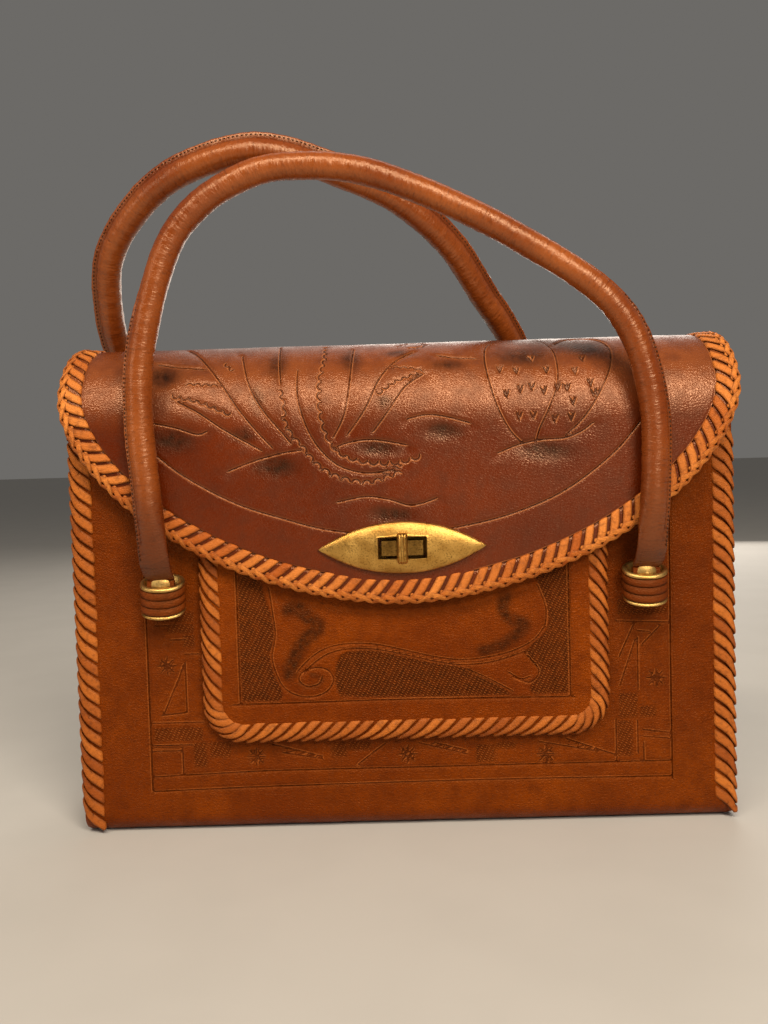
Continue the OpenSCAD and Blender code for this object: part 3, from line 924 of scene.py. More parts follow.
@dataclass(frozen=True)
class BrassFinish:
    """Antique brass with tarnish, browned round its rim."""

    name: str = "antique_brass"
    bright: Colour = srgb(212, 166, 88)
    base: Colour = srgb(172, 126, 58)
    tarnish: Colour = srgb(84, 58, 22)
    tarnished: float = 0.6
    brown: Colour = srgb(128, 78, 32)

    BUMP_MM, SCRATCH_WAY, SCRATCH_SHAPE = 0.06, 20, (1, 1, 9)

    def material(self) -> Material:
        """Make the material."""
        s = Shader(self.name)
        cloud, speck = s.noise(9, 5), s.noise(0.7, 3)
        colour = s.mix(s.span(cloud, 0.35, 0.65), self.base, self.bright)
        colour = s.mix(s.span(speck, 0.52, 0.7, 0, self.tarnished), colour, self.tarnish)
        rim = s.times(s.mask("rim"), s.span(cloud, 0.3, 0.65, 0.85, 0.4))
        colour = s.mix(rim, colour, self.brown)
        scratch = s.noise(0.5, 3, s.turned(self.SCRATCH_WAY, self.SCRATCH_SHAPE))
        rough = s.plus(s.span(cloud, 0.3, 0.7, 0.3, 0.44), s.span(scratch, 0.5, 0.8, 0, 0.12))
        height = s.plus(speck, s.times(scratch, 0.6))
        return s.finish(colour, rough, height, self.BUMP_MM, Metallic=1.0)


class Finish(Enum):
    """The finishes that the pieces take."""

    FLAP = LeatherFinish(
        "burnished_flap", base=srgb(79, 21, 0), light=srgb(99, 33, 2), deep=srgb(59, 13, 0),
        dye=srgb(27, 7, 0), wear_and_painted_light=srgb(196, 118, 66), line=0.7, sheen=(1.0, 0.57, 0.35), specular=0.7,
        roughness=0.27, grain_depth=0.05, crease=0.6)
    # The body is a darker copy of the pocket's leather: painted shade, for light that falls off towards the
    # bottom.
    BODY = LeatherFinish(
        "tanned_body", base=srgb(98, 35, 0), light=srgb(119, 49, 0), deep=srgb(76, 24, 0),
        sheen=(1.0, 0.5, 0.2), specular=0.26, roughness=0.41, grain_depth=0.15)
    POCKET = LeatherFinish(
        "tanned_pocket", base=srgb(104, 38, 0), light=srgb(127, 53, 0), deep=srgb(82, 26, 0),
        sheen=(1.0, 0.5, 0.2), specular=0.26, roughness=0.41, grain_depth=0.15)
    GUSSET = LeatherFinish(
        "tanned_gusset", base=srgb(112, 52, 14), light=srgb(132, 64, 20), deep=srgb(84, 34, 8),
        roughness=0.55, coat=0.05)
    KEEPER = LeatherFinish(
        "tanned_keeper", base=srgb(98, 40, 8), light=srgb(122, 56, 14), deep=srgb(62, 24, 4),
        sheen=(1.0, 0.55, 0.25), specular=0.25)
    LACE = LaceFinish()
    PLAIT = LaceFinish("calf_plait", srgb(198, 110, 38), srgb(152, 72, 16), srgb(84, 36, 8))
    ROLL = RollFinish()
    BRASS = BrassFinish()
    THREAD = LaceFinish("waxed_thread", srgb(96, 48, 20), srgb(58, 24, 8), srgb(36, 14, 4))
    BOARD = LeatherFinish(
        "grey_board", base=srgb(92, 76, 58), light=srgb(112, 96, 76), deep=srgb(70, 56, 42), roughness=0.8)
    DARK_BRASS = BrassFinish(
        "shaded_brass", bright=srgb(150, 112, 54), base=srgb(112, 80, 34), tarnish=srgb(50, 34, 14),
        tarnished=0.7)
    BRIGHT_BRASS = BrassFinish(
        "rubbed_brass", bright=srgb(212, 174, 104), base=srgb(170, 128, 66), tarnish=srgb(92, 64, 28),
        tarnished=0.45)

    def material(self) -> Material:
        """The finish's material, made once."""
        return bpy.data.materials.get(self.value.name) or self.value.material()


# Leather panels


def flap_marks(shape: FlapShape) -> list[Mark]:
    """The flap's tooling, in x and run: plume, scrolls, leaf and cactus pads.

    Args:
        shape: the flap.
    Returns:
        The marks.
    """
    # A paler band over the arch: painted sheen where the fold turns to the light, and rubbing.
    marks: list[Mark] = [WearAndSheen(start=-75, full=-24, end=6)]
    band, arc_share = 9.0, 1.15
    edge_runs = np.linspace(-70, shape.tip_run - 0.4, 90)
    edge = np.stack([shape.half(edge_runs), edge_runs], 1)
    way = np.gradient(edge, axis=0)
    way /= np.linalg.norm(way, axis=1)[:, None]
    inner = edge + band * np.stack([-way[:, 1], way[:, 0]], 1)
    inner = inner[inner[:, 0] > 0]
    for side in (-1, 1):
        line = tuple((side * px, pv) for px, pv in inner[::3])
        marks.append(Stroke(line, depth=0.7, width=0.6, bevel=0.35 * side, dye=0.75))
    border = (
        (-112, 2), (-103, 11), (-90, 21), (-70, 32), (-50, 39), (-30, 44.5), (0, 47.5),
        (30, 43.5), (50, 38.5), (70, 30), (90, 15.5), (103, 1), (110, -8))
    marks.append(Stroke(border, depth=0.5, bevel=0.15, dye=0.45))
    plume = [
        ((-94, -12), (-85, -7), (-75, 0), (-65, 6), (-59, 9.5)),
        ((-93, -48), (-85, -35), (-75, -19), (-68, -8), (-60, 2), (-54, 8.5)),
        ((-68, -38), (-64, -20), (-58, -8), (-50, 2), (-46, 7)),
        ((-43, -26), (-43, -15), (-41, -5), (-37, 5), (-31, 13), (-24, 18), (-14, 20.5), (-4, 19.5),
         (1, 17.5)),
        ((-28, 5), (-23, -5), (-20.5, -20), (-19, -42)),
        ((-22, 4), (-14, -7), (-8, -20), (-1, -30), (7, -37)),
        ((-11, 3), (-4, -6), (3, -16), (11, -22)),
        ((-52, -48), (-51, -30), (-50, -19)),
        ((18, -33.5), (25, -31.5), (34, -30.5)),
    ]
    marks += [Stroke(line, depth=0.6, bevel=0.85, dye=0.55) for line in plume]
    rows = [
        (((-97, -15), (-86, -12.5), (-79, -9.5), (-71, -6)), 3.6, 1),
        (((-91, -20), (-84, -19.5), (-77, -19)), 3.0, -1),
        (((-51, -17), (-49, -9), (-49, -3), (-46, 4), (-41, 9), (-38, 14), (-31, 20), (-24, 23),
          (-14, 25), (-6, 23), (1, 20.5)), 4.0, -1),
        (((-31, -47), (-31, -32), (-33, -20), (-33, -8), (-31, 2), (-27, 10), (-20, 14), (-11, 16),
          (0, 16), (9, 13.5)), 4.0, 1),
        (((-9, -13), (-4, -17), (1, -20), (9, -23)), 3.2, 1),
        (((-2, -26), (4, -25.5), (11, -23.5)), 2.8, -1),
        (((-75, -32), (-71, -27)), 3.0, 1),
        (((0, -44), (4, -49), (10, -50), (14, -45), (10, -41), (5, -41)), 3.2, 1),
    ]
    marks += [Scallops(line, arc_share * pitch, side) for line, pitch, side in rows]
    brows = [
        (((-28, 9.5), (-20, 7), (-10, 6.5), (3, 9)), (-9, 10), (9, 2.6)),
        (((-73, 18), (-62, 14), (-50, 11), (-42, 10)), (-53, 16.5), (9, 3.6)),
        (((-104, -3), (-95, -1), (-86, 2), (-82, 1)), (-96, 4.5), (8, 3.6)),
        (((4, -2), (12, -3.4), (20, -2.4), (30, 0.5)), (19, 3.6), (7.5, 2.8)),
        (((42, 13.5), (50, 10.5), (60, 8.5), (70, 8), (77, 5.5), (82, 2)), (61, 13), (11, 3.2)),
        (((-27, 32.5), (-15, 30.5), (-5, 32), (3, 34.6), (9, 34), (15, 32)), (-4, 38.5), (9, 2.6)),
        (((-104, -33), (-95, -30.5), (-84, -29)), (-101, -25), (6, 4)),
    ]
    for line, centre, (across, down) in brows:
        marks.append(Stroke(line, depth=0.6, width=0.6, bevel=0.8))
        marks.append(Smudge(centre, (across * 1.1, down * 1.4), turn=4, strength=1.0, sink=0.7))
    pads = [
        ((52, 9.5), (47, 4), (42, -6), (39, -18), (38, -30), (40, -41), (46, -49), (55, -52),
         (63, -47), (68, -37), (69, -26), (68, -15), (64, -5), (60, 3), (58, 9)),
        ((71, 6.5), (78, 0), (85, -10), (91, -22), (93, -33), (91, -42), (85, -48), (76, -47), (70, -41)),
    ]
    marks += [Stroke(line, depth=0.7, width=0.6, bevel=-0.5, dye=0.6) for line in pads]
    spines = (
        (44, -22), (51, -21), (64, -21), (46, -10), (52, -12), (57, -13), (62, -11), (51, -0.5), (57, -0.5),
        (76, -20), (68, -12.5), (72, -12), (82, -14), (74, -6), (83, -9.5), (66, 1), (73, 0.5), (58, -28),
        (80, -27))
    marks += [Spine(tip) for tip in spines]
    smudges = [
        ((-6, -9.5), (4, 3.2)), ((55, -31), (12, 7)), ((84, -36), (9, 6)), ((22, -27), (8, 3)),
        ((-52, -30), (4, 9)), ((-60, -12), (3, 6)), ((-20, -33), (4, 8)), ((-66, 3), (6, 3)),
        ((2, -36), (7, 3))]
    marks += [Smudge(centre, radii, strength=0.85, sink=0.1) for centre, radii in smudges]
    return marks


class Flap:
    """The tooled flap, from the back seam over the arch to the tip."""

    FINE, PLAIN = 0.9, 2.6
    COLUMNS = 301
    TOOLED_UP_TO = -66.0
    # Last rows, close together where the sheet narrows to its tip
    TIP_GAPS, TIP_CLEAR = (0.4, 0.12, 0.02), 0.7
    SLOT_HALF = (10.8, 5.2)

    def __init__(self, shape: FlapShape) -> None:
        """Keep the shape.

        Args:
            shape: the flap's sheet.
        """
        self.shape = shape
        self.lock_run = shape.wall_h - sum(box("lock_base"))[2] / 2

    def build(self) -> None:
        """Make the flap with its slot for the lock."""
        tip, seam = self.shape.tip_run, self.shape.seam_run
        rows = np.concatenate([
            np.arange(seam, self.TOOLED_UP_TO, self.PLAIN),
            np.arange(self.TOOLED_UP_TO, tip - self.TIP_CLEAR, self.FINE),
            tip - np.array(self.TIP_GAPS),
        ])
        sheet = Sheet(
            "tooled_flap", rows, self.shape.half(rows), self.COLUMNS, self.shape.place, self.shape.leather,
            Relief(*flap_marks(self.shape)), hole=self._slot, seed=3)
        settle(sheet.build(), Finish.FLAP.material(), "flap_leather", "shell", "flap")

    def _slot(self, x: Array, run: Array) -> Array:
        """Tells which places lie in the lock's slot."""
        wide, high = self.SLOT_HALF
        return (np.abs(x) < wide) & (np.abs(run - self.lock_run) < high)


def body_marks() -> list[Mark]:
    """Tooling of the front wall, in x and height: a frame with frets and stars."""
    left, right, low, lower, high = -113.5, 116.5, 26.0, 19.0, 150.0
    marks: list[Mark] = [
        Stroke(((side, lower - 1), (side, 60), (side, high)), depth=0.7, width=0.6, bevel=bevel, dye=0.6)
        for side, bevel in ((left, -0.3), (right, 0.3))
    ]
    rails = [
        (((left, low - 1.5), (-60, low), (0, low), (60, low), (right, low)), -0.3),
        (((left, lower - 1), (-60, lower), (0, lower + 0.5), (60, lower + 0.5), (right, lower)), 0.3),
    ]
    marks += [Stroke(line, depth=0.6, width=0.6, bevel=bevel, dye=0.55) for line, bevel in rails]
    grounds = [
        (-112, 40, -90, 46.5), (-95, 28, -88.5, 40), (-88, 32.5, -78, 40), (-34, 31, -26.5, 38.5),
        (-26.5, 34.5, -16, 38.5), (30, 27.5, 39, 36), (39, 33, 48, 36.5), (93, 45, 102, 57),
        (102, 45, 110, 51),
        (92, 28, 99.5, 45), (-110, 93, -92, 98), (-105, 88, -92, 93), (-98, 82, -92, 88), (93, 91, 115, 99),
    ]
    for x0, z0, x1, z1 in grounds:
        block = ((x0, z0), (x1, z0), (x1, z1), (x0, z1))
        marks.append(Ground(block, depth=0.4, dye=0.45, rounded=False))
    lines = [
        ((-112, 48.5), (-90, 48.5)), ((-99.5, 25), (-99.5, 38)), ((-112, 38.5), (-95, 38.5)),
        ((-112, 36), (-100, 36)), ((-109, 92), (-104, 92)), ((-103, 85.5), (-96, 85.5)),
        ((-96.5, 79), (-91, 79)), ((-97, 75), (-97, 53)), ((-97, 53), (-108, 52)),
        ((-107, 53), (-97.5, 74)), ((-101, 65), (-98, 74)), ((-60, 38), (-38, 32)), ((-55, 34), (-38, 31)),
        ((-22, 28), (-10, 37)), ((5, 37), (26, 31.5)), ((12, 37), (26, 33)), ((58, 36), (84, 31)),
        ((70, 37), (92, 29)), ((101.5, 30), (101.5, 44)), ((104, 40), (115, 38.5)), ((104, 37), (115, 36)),
        ((93, 88.5), (115, 87.5)), ((102, 84), (107, 83.5)), ((102, 81), (102, 58)), ((104, 78), (112, 86)),
        ((94, 60), (101, 80)), ((94, 73), (101, 88)), ((104, 34.5), (104, 27)), ((92, 26.5), (92, 45)),
    ]
    marks += [Stroke(line, depth=0.4, width=0.5, bevel=0.25, dye=0.4) for line in lines]
    marks += [Star(centre) for centre in ((-105, 74), (-67, 32.5), (0, 32), (61, 30.5), (110, 63))]
    return marks


class Body:
    """The folded body leather: front wall, base and back wall."""

    FINE, PLAIN = 1.0, 3.2
    TOOLED_UP_TO = 136.0
    COLUMNS = 283
    SAG, SAG_MM, SAG_SEED = 0.9, 190, 11
    # Height where the sag of the front wall starts, and how it comes and goes
    SAG_FROM, SAG_RISE, SAG_FALL = 14, 40, 60

    def __init__(self, sizes: BagSizes) -> None:
        """Keep the sizes.

        Args:
            sizes: the bag's main sizes.
        """
        self.sizes = sizes
        self.mid_r = sizes.fold_r - sizes.leather / 2
        self.bend = self.mid_r * math.pi / 2
        self.flat = 2 * (sizes.half_d - sizes.fold_r)

    def place(self, x: Array, v: Array, out: Array) -> Array:
        """Point of the sheet; v is the height on the front, then less round the base and up the back."""
        s = self.sizes
        down = s.fold_r - v
        first = np.clip(down / self.mid_r, 0, math.pi / 2)
        over = np.clip(down - self.bend, 0, self.flat)
        second = np.clip((down - self.bend - self.flat) / self.mid_r, 0, math.pi / 2)
        rise = np.maximum(down - 2 * self.bend - self.flat, 0)
        turn = first + second
        radius = self.mid_r + out
        middle_y = np.where(second > 0, s.half_d - s.fold_r, s.fold_r - s.half_d + over)
        y = middle_y - radius * np.cos(turn)
        z = s.fold_r - radius * np.sin(turn) + np.maximum(-down, 0) + rise
        sag = self.SAG * ripple(x, v, self.SAG_MM, self.SAG_SEED)
        sag = sag * ease((v - self.SAG_FROM) / self.SAG_RISE) * ease((s.wall_h - v) / self.SAG_FALL)
        return np.stack([np.broadcast_to(x, y.shape), y + sag * (turn == 0), z], -1)

    def build(self) -> None:
        """Make the body leather."""
        s = self.sizes
        back_wall = s.fold_r - 2 * self.bend - self.flat
        rear_fold, front_fold = s.fold_r - self.bend - self.flat, s.fold_r - self.bend
        end = back_wall - (s.wall_h - s.fold_r)
        rows = np.concatenate([
            np.arange(end, back_wall, self.PLAIN),
            np.linspace(back_wall, rear_fold, 8)[:-1],
            np.arange(rear_fold, front_fold, self.PLAIN),
            np.linspace(front_fold, s.fold_r, 10)[:-1],
            np.arange(s.fold_r, self.TOOLED_UP_TO, self.FINE),
            np.linspace(self.TOOLED_UP_TO, s.wall_h, 12),
        ])
        half = np.full(len(rows), s.body_half)
        sheet = Sheet(
            "tooled_body", rows, half, self.COLUMNS, self.place, s.leather, Relief(*body_marks()),
            wave=0.12, seed=5)
        settle(sheet.build(), Finish.BODY.material(), "body_leather", "shell", "body")


def pocket_marks() -> list[Mark]:
    """Tooling of the pocket, in x and height: a scrolled panel on stamped ground."""
    ground_left = (
        (-72, 58), (-56, 58), (-54, 63), (-57, 70), (-58.5, 78), (-56.5, 86), (-57, 94), (-60, 104),
        (-63, 116), (-72, 116))
    ground_low = (
        (-29, 59), (-31, 66), (-30, 74), (-26, 79), (-14, 79.5), (0, 76.5), (12, 73.5), (24, 71.5),
        (34, 66.5), (44, 60), (43, 58), (0, 58))
    ground_right = (
        (71, 58), (71, 116), (56, 116), (59, 104), (62, 94), (61, 86), (52, 76.5), (58, 68), (54, 62),
        (56, 58))
    marks: list[Mark] = [
        Ground(ground_left, depth=0.7, dye=0.8),
        Ground(ground_low, depth=0.75, dye=0.84),
        Ground(ground_right, depth=0.7, dye=0.8),
    ]
    for side, bevel in ((-72.5, -0.3), (71.5, 0.3)):
        line = ((side, 57), (side, 85), (side, 116))
        marks.append(Stroke(line, depth=0.6, width=0.6, bevel=bevel, dye=0.6))
    foot = ((-76, 56.8), (-40, 57.2), (0, 57.4), (40, 57), (73, 56.6))
    marks.append(Stroke(foot, depth=0.7, width=0.65))
    lines = [
        ((-57, 72), (-54, 65), (-49, 61), (-42, 59.5), (-35, 61.5), (-31.5, 66.5), (-33.5, 71),
         (-39, 72.5), (-45, 70.5), (-46.5, 67), (-43, 64.2), (-38, 65.2), (-36.5, 68)),
        ((-47, 71), (-42, 76), (-35, 80.5), (-25, 82.5), (-13, 82), (0, 79), (12, 76), (24, 74.2),
         (36, 75), (47, 77.5), (56, 82), (61, 88)),
        ((-44, 70.5), (-39, 75), (-33, 78.5), (-25, 80.2), (-13, 79.8), (0, 77), (12, 74), (24, 72),
         (36, 72.6), (44, 74.5), (52, 77)),
        ((27, 70), (36, 65.5), (46, 60)),
        ((52, 76.5), (58, 68.5), (54, 63.5), (47, 66)),
        ((45, 68), (50, 65), (54, 66)),
    ]
    marks += [Stroke(line, depth=0.6, width=0.6, bevel=0.5) for line in lines]
    left_smear = (
        (-50, 98), (-46, 98.5), (-42, 95), (-37.5, 91), (-40, 87.5), (-45, 83), (-48.5, 76), (-50.5, 70))
    right_smear = ((44, 101), (43, 96), (46, 91.5), (52, 89), (49, 85), (42, 80), (34, 78))
    curl = ((-46, 66), (-43, 64), (-38, 65), (-37, 68), (-41, 69.5))
    marks += [
        Smear(left_smear, half=3.4, strength=1.0),
        Smear(right_smear, half=3.0, strength=0.95),
        Smear(curl, half=1.2, strength=0.7),
        # A faint dark band along the flap's lower edge: painted shadow of the flap.
        Smudge((0, 98), (40, 4), strength=0.2),
        Smudge((51, 90), (3.8, 3), strength=0.9),
        Smudge((35, 78.6), (4.2, 2.6), strength=0.9),
        Smudge((-49, 97.5), (4, 2.6), strength=0.9),
    ]
    sides = [
        (((-58.5, 108), (-57, 96), (-56.3, 87), (-58, 78), (-57, 72)), 0.3),
        (((58, 106), (61.5, 96), (61, 88)), -0.3),
    ]
    marks += [Stroke(line, depth=0.4, width=0.5, bevel=bevel, dye=0.3) for line, bevel in sides]
    return marks


class Pocket:
    """The tooled pocket on the front wall."""

    FINE = 0.72
    COLUMNS = 241
    CORNER_R = 16.0
    BULGE, BULGE_RISE = 0.5, 40
    # First rows, close together where the sheet widens from its foot
    FOOT_GAPS, FOOT_CLEAR = (0.02, 0.15, 0.45), 0.9

    def __init__(self) -> None:
        """Read the pocket's place from the frame."""
        self.low, self.high = box("pocket")
        self.mid_y = (self.low[1] + self.high[1]) / 2

    def half(self, v: Array) -> Array:
        """Half width at a height, narrower at the round corners."""
        short = np.clip(self.CORNER_R - (v - self.low[2]), 0, self.CORNER_R)
        return self.high[0] - self.CORNER_R + np.sqrt(self.CORNER_R ** 2 - short ** 2)

    def place(self, x: Array, v: Array, out: Array) -> Array:
        """Point of the sheet, a little fuller in its middle."""
        across = np.clip(1 - (x / self.high[0]) ** 2, 0, 1)
        full = self.BULGE * across * ease((v - self.low[2]) / self.BULGE_RISE)
        return np.stack([np.broadcast_to(x, v.shape), self.mid_y - out - full * (out > 0), v], -1)

    def build(self) -> None:
        """Make the pocket leather."""
        rows = np.concatenate([
            self.low[2] + np.array(self.FOOT_GAPS),
            np.arange(self.low[2] + self.FOOT_CLEAR, self.high[2], self.FINE), [self.high[2]]])
        sheet = Sheet(
            "tooled_pocket", rows, self.half(rows), self.COLUMNS, self.place,
            self.high[1] - self.low[1], Relief(*pocket_marks()), wave=0.1, seed=8)
        settle(sheet.build(), Finish.POCKET.material(), "body_leather", "shell", "pocket")


# Lacing and thread


class Strands:
    """Gathers round or flat strands into one mesh, each with its own tone."""

    SIDES = 10
    FLAT = (0.58, 0.85)
    MAX_SKEW = 1.6
    EDGE_POWER = 3
    UNDER, UNDER_DARK = -0.2, 0.8
    SHARP = 80

    def __init__(self, name: str) -> None:
        """Start an empty mesh.

        Args:
            name: the piece's name.
        """
        self.name = name
        self.points: list[Array] = []
        self.faces: list[list[int]] = []
        self.tone: list[Array] = []
        self.edge: list[Array] = []
        self.count = 0

    def add(
        self, line: Array, normal: Array, width: Array, thick: Array, tone: float,
        trim: Array | None = None,
    ) -> None:
        """Sweep one strand.

        Args:
            line: points along its middle.
            normal: the way its face looks at each point.
            width, thick: size at each point.
            tone: how pale this strand is.
            trim: at each point, the way that its section is cut square to, or zeros.
        """
        along = np.gradient(line, axis=0)
        across = np.cross(along, normal)
        across /= np.linalg.norm(across, axis=1)[:, None] + TINY
        up = np.cross(across, along)
        up /= np.linalg.norm(up, axis=1)[:, None] + TINY
        if trim is not None:
            ahead = np.cross(normal, across)
            ahead /= np.linalg.norm(ahead, axis=1)[:, None]
            skew = (across * trim).sum(1) / np.where(trim.any(1), (ahead * trim).sum(1), 1)
            across = across - np.clip(skew, -self.MAX_SKEW, self.MAX_SKEW)[:, None] * ahead
        angle = 2 * math.pi * np.arange(self.SIDES) / self.SIDES
        c, s = np.cos(angle), np.sin(angle)
        u = np.sign(c) * np.abs(c) ** self.FLAT[0]
        w = np.sign(s) * np.abs(s) ** self.FLAT[1]
        ring = line[:, None] + (width / 2)[:, None, None] * u[None, :, None] * across[:, None]
        ring = ring + (thick / 2)[:, None, None] * w[None, :, None] * up[:, None]
        rows, n = len(line), self.SIDES
        self.points.append(ring.reshape(-1, 3))
        # Painted shade: the edge mask darkens the sides, the ends and the underside of each strand.
        dark = np.repeat((np.abs(u) ** self.EDGE_POWER)[None], rows, 0)
        dark[[0, -1]] = 1
        self.edge.append(np.maximum(dark, (w < self.UNDER)[None] * self.UNDER_DARK).ravel())
        self.tone.append(np.full(rows * n, tone))
        base = self.count
        for i in range(rows - 1):
            for k in range(n):
                a, b = base + i * n + k, base + i * n + (k + 1) % n
                self.faces.append([a, b, b + n, a + n])
        self.faces.append([base + k for k in range(n)][::-1])
        self.faces.append([base + (rows - 1) * n + k for k in range(n)])
        self.count += rows * n

    def build(self) -> Piece:
        """Make the object with its tone mask and its edge mask of painted shade.

        Returns:
            The new object.
        """
        piece = new_object(self.name, np.vstack(self.points), self.faces, self.SHARP)
        add_mask(piece, "tone", np.concatenate(self.tone))
        add_mask(piece, "edge", np.concatenate(self.edge))
        return piece


@dataclass(frozen=True)
class LaceStyle:
    """Sizes of one run of lacing, in millimetres.

    Attributes:
        pitch: distance between stitches.
        reach: how far in from the edge a leg starts.
        rim: how far in the lace starts to turn round the edge.
        leg_w, bead_w: widths of the legs and the beads, which may be left out by zero.
        slant: lean of the legs, in degrees.
        lift: how far the lace lies above the leather.
        lace_t: thickness of the lace.
    """

    pitch: float
    reach: float
    rim: float
    leg_w: float
    bead_w: float
    slant: float
    lift: float = 0.25
    lace_t: float = 1.0


class Lacing:
    """Lacing along one free edge of a sheet.

    Each stitch has a slanted leg on the face, and where the style has beads, a
    bead that crosses the rim the other way. Both go round the edge to the back.
    """

    STEP = 0.8
    RUN_SPREAD, REACH_SPREAD, LIFT_SPREAD, WIDTH_SPREAD = 0.1, 0.15, 0.05, 0.12
    TONE, TONE_SPREAD = 0.45, 0.3
    # Rows of a leg from its foot and from its middle: depth and height
    LEG_FOOT = ((0.2, -0.9), (0.0, -0.2), (-1.0, 0.05))
    LEG_MIDDLE = ((0.6, 0.2), (-0.8, 0.25))
    # Rows over the rim: along in pitches, depth in rims, height and turn
    LEG_RIM = ((-0.02, 1.1, 0.3, 8), (-0.35, 0.62, 0.3, 20), (-0.7, 0.2, 0.05, 45))
    BEAD_RIM = ((-0.5, 1.15, -0.3, 0), (-0.28, 0.98, 0.3, 6), (0.1, 0.64, 0.5, 18), (0.5, 0.25, 0.2, 40))
    LEG_TAPER = (0.92, 1, 1, 1, 1, 0.9, 0.72, 0.66, 0.66, 0.7, 0.8, 0.9, 1, 0.9)
    BEAD_TAPER = (0.6, 1, 1, 0.9, 0.9, 0.9)
    LEG_ALONG, BEAD_ALONG, WRAP_DRIFT = -1, 0.75, 0.8
    BEAD_PALER = 0.2
    TRIMMED_ROWS = 5
    END_SLACK, PROBE, TRIM_PROBE = 0.5, 0.2, 0.5

    def __init__(
        self, edge: Array, inward: int, place: Place, stack: Point, style: LaceStyle, seed: int,
    ) -> None:
        """Keep the edge.

        Args:
            edge: the edge in sheet places, across and down.
            inward: 1 where the leather lies clockwise of the edge's direction, or -1.
            place: turns sheet places into points.
            stack: front and back face of what is laced, out from the sheet's middle.
            style: sizes of the stitches.
            seed: picks the small differences between stitches.
        """
        self.place, self.stack, self.style = place, stack, style
        line = even_line(edge, self.STEP)
        way = np.gradient(line, axis=0)
        way /= np.linalg.norm(way, axis=1)[:, None]
        self.line = line
        self.into = inward * np.stack([-way[:, 1], way[:, 0]], 1)
        self.turn = -inward
        self.run = np.concatenate([[0], np.cumsum(np.linalg.norm(np.diff(line, axis=0), axis=1))])
        self.rng = np.random.default_rng(seed)

    def spot(self, run: Array, deep: Array, out: Array) -> Array:
        """Points at a run along the edge, a depth in from it and a height."""
        at = [np.interp(run, self.run, self.line[:, i]) for i in range(2)]
        into = [np.interp(run, self.run, self.into[:, i]) for i in range(2)]
        past = run - np.clip(run, 0, self.run[-1])
        x = at[0] + deep * into[0] + past * (-self.turn * into[1])
        down = at[1] + deep * into[1] + past * (self.turn * into[0])
        return self.place(x, down, out)

    def strand(
        self, strands: Strands, run: float, rows: Sequence[Sequence[float]], width: Array, tone: float,
        trimmed: float = 0.0,
    ) -> None:
        """Lay one strand.

        Args:
            strands: the mesh to add to.
            run: where the stitch lies along the edge.
            rows: (along, depth, out, turn round the edge in degrees) of each point.
            width: width at each row.
            tone: how pale it is.
            trimmed: share of its length, from its start, that is cut along the edge.
        """
        path = smooth_line(np.array(rows, float), 2)
        wide = np.interp(np.linspace(0, 1, len(path)), np.linspace(0, 1, len(width)), width)
        at = np.clip(run + self.turn * path[:, 0], -self.END_SLACK, self.run[-1] + self.END_SLACK)
        deep, out, turn = path[:, 1], path[:, 2], np.radians(path[:, 3])
        line = self.spot(at, deep, out)
        tip = self.spot(at, deep - self.PROBE * np.sin(turn), out + self.PROBE * np.cos(turn))
        trim = None
        if trimmed:
            trim = self.spot(at, deep + self.TRIM_PROBE, out) - self.spot(at, deep - self.TRIM_PROBE, out)
            trim = trim * (np.arange(len(path)) < trimmed * len(path))[:, None]
        strands.add(line, tip - line, wide, np.full(len(path), self.style.lace_t), tone, trim)

    def lay(self, strands: Strands) -> None:
        """Lay every stitch of this edge.

        Args:
            strands: the mesh to add to.
        """
        s = self.style
        count = int(self.run[-1] / s.pitch)
        first = (self.run[-1] - (count - 1) * s.pitch) / 2
        for i in range(count):
            run = first + i * s.pitch + self.rng.normal(0, self.RUN_SPREAD)
            reach = s.reach + self.rng.normal(0, self.REACH_SPREAD)
            tone = float(np.clip(self.rng.normal(self.TONE, self.TONE_SPREAD), 0, 1))
            up = self.stack[0] + s.lift + self.rng.normal(0, self.LIFT_SPREAD)
            wide = s.leg_w + self.rng.normal(0, self.WIDTH_SPREAD)
            leg, widths = self._leg(reach, up), wide * np.array(self.LEG_TAPER)
            self.strand(strands, run, leg, widths, tone, self.TRIMMED_ROWS / len(leg))
            if s.bead_w:
                bead = self._over(self.BEAD_RIM, up) + self._wrap(self.BEAD_ALONG * s.pitch)
                paler = min(tone + self.BEAD_PALER, 1)
                self.strand(strands, run, bead, s.bead_w * np.array(self.BEAD_TAPER), paler)

    def _leg(self, reach: float, up: float) -> list[tuple[float, ...]]:
        """Rows of a leg, from its foot over the rim to the back."""
        s = self.style
        lean = math.tan(math.radians(s.slant))
        half = (reach + s.rim) / 2
        face = [(reach + deep, height) for deep, height in self.LEG_FOOT]
        face += [(half + deep, height) for deep, height in self.LEG_MIDDLE]
        rows = [(lean * (deep - s.rim), deep, up + height, 0) for deep, height in face]
        return rows + self._over(self.LEG_RIM, up) + self._wrap(self.LEG_ALONG * s.pitch)

    def _over(self, rim: Sequence[Sequence[float]], up: float) -> list[tuple[float, ...]]:
        """Rows of a strand that bends over the rim."""
        s = self.style
        return [(s.pitch * along, s.rim * deep, up + height, turn) for along, deep, height, turn in rim]

    def _wrap(self, along: float) -> list[tuple[float, ...]]:
        """Rows of a strand that goes round the edge and into the back."""
        lift, (front, back) = self.style.lift, self.stack
        drift = math.copysign(self.WRAP_DRIFT, along)
        return [
            (along, -0.45, front - 0.4, 75),
            (along + drift, -0.7, (front + back) / 2, 90),
            (along + 1.5 * drift, -0.35, back + 0.1, 120),
            (along + 2 * drift, 1.6, back - lift, 178),
            (along + 2.2 * drift, 5.0, back - lift, 180),
            (along + 2.2 * drift, 6.6, back + 0.3, 180),
        ]


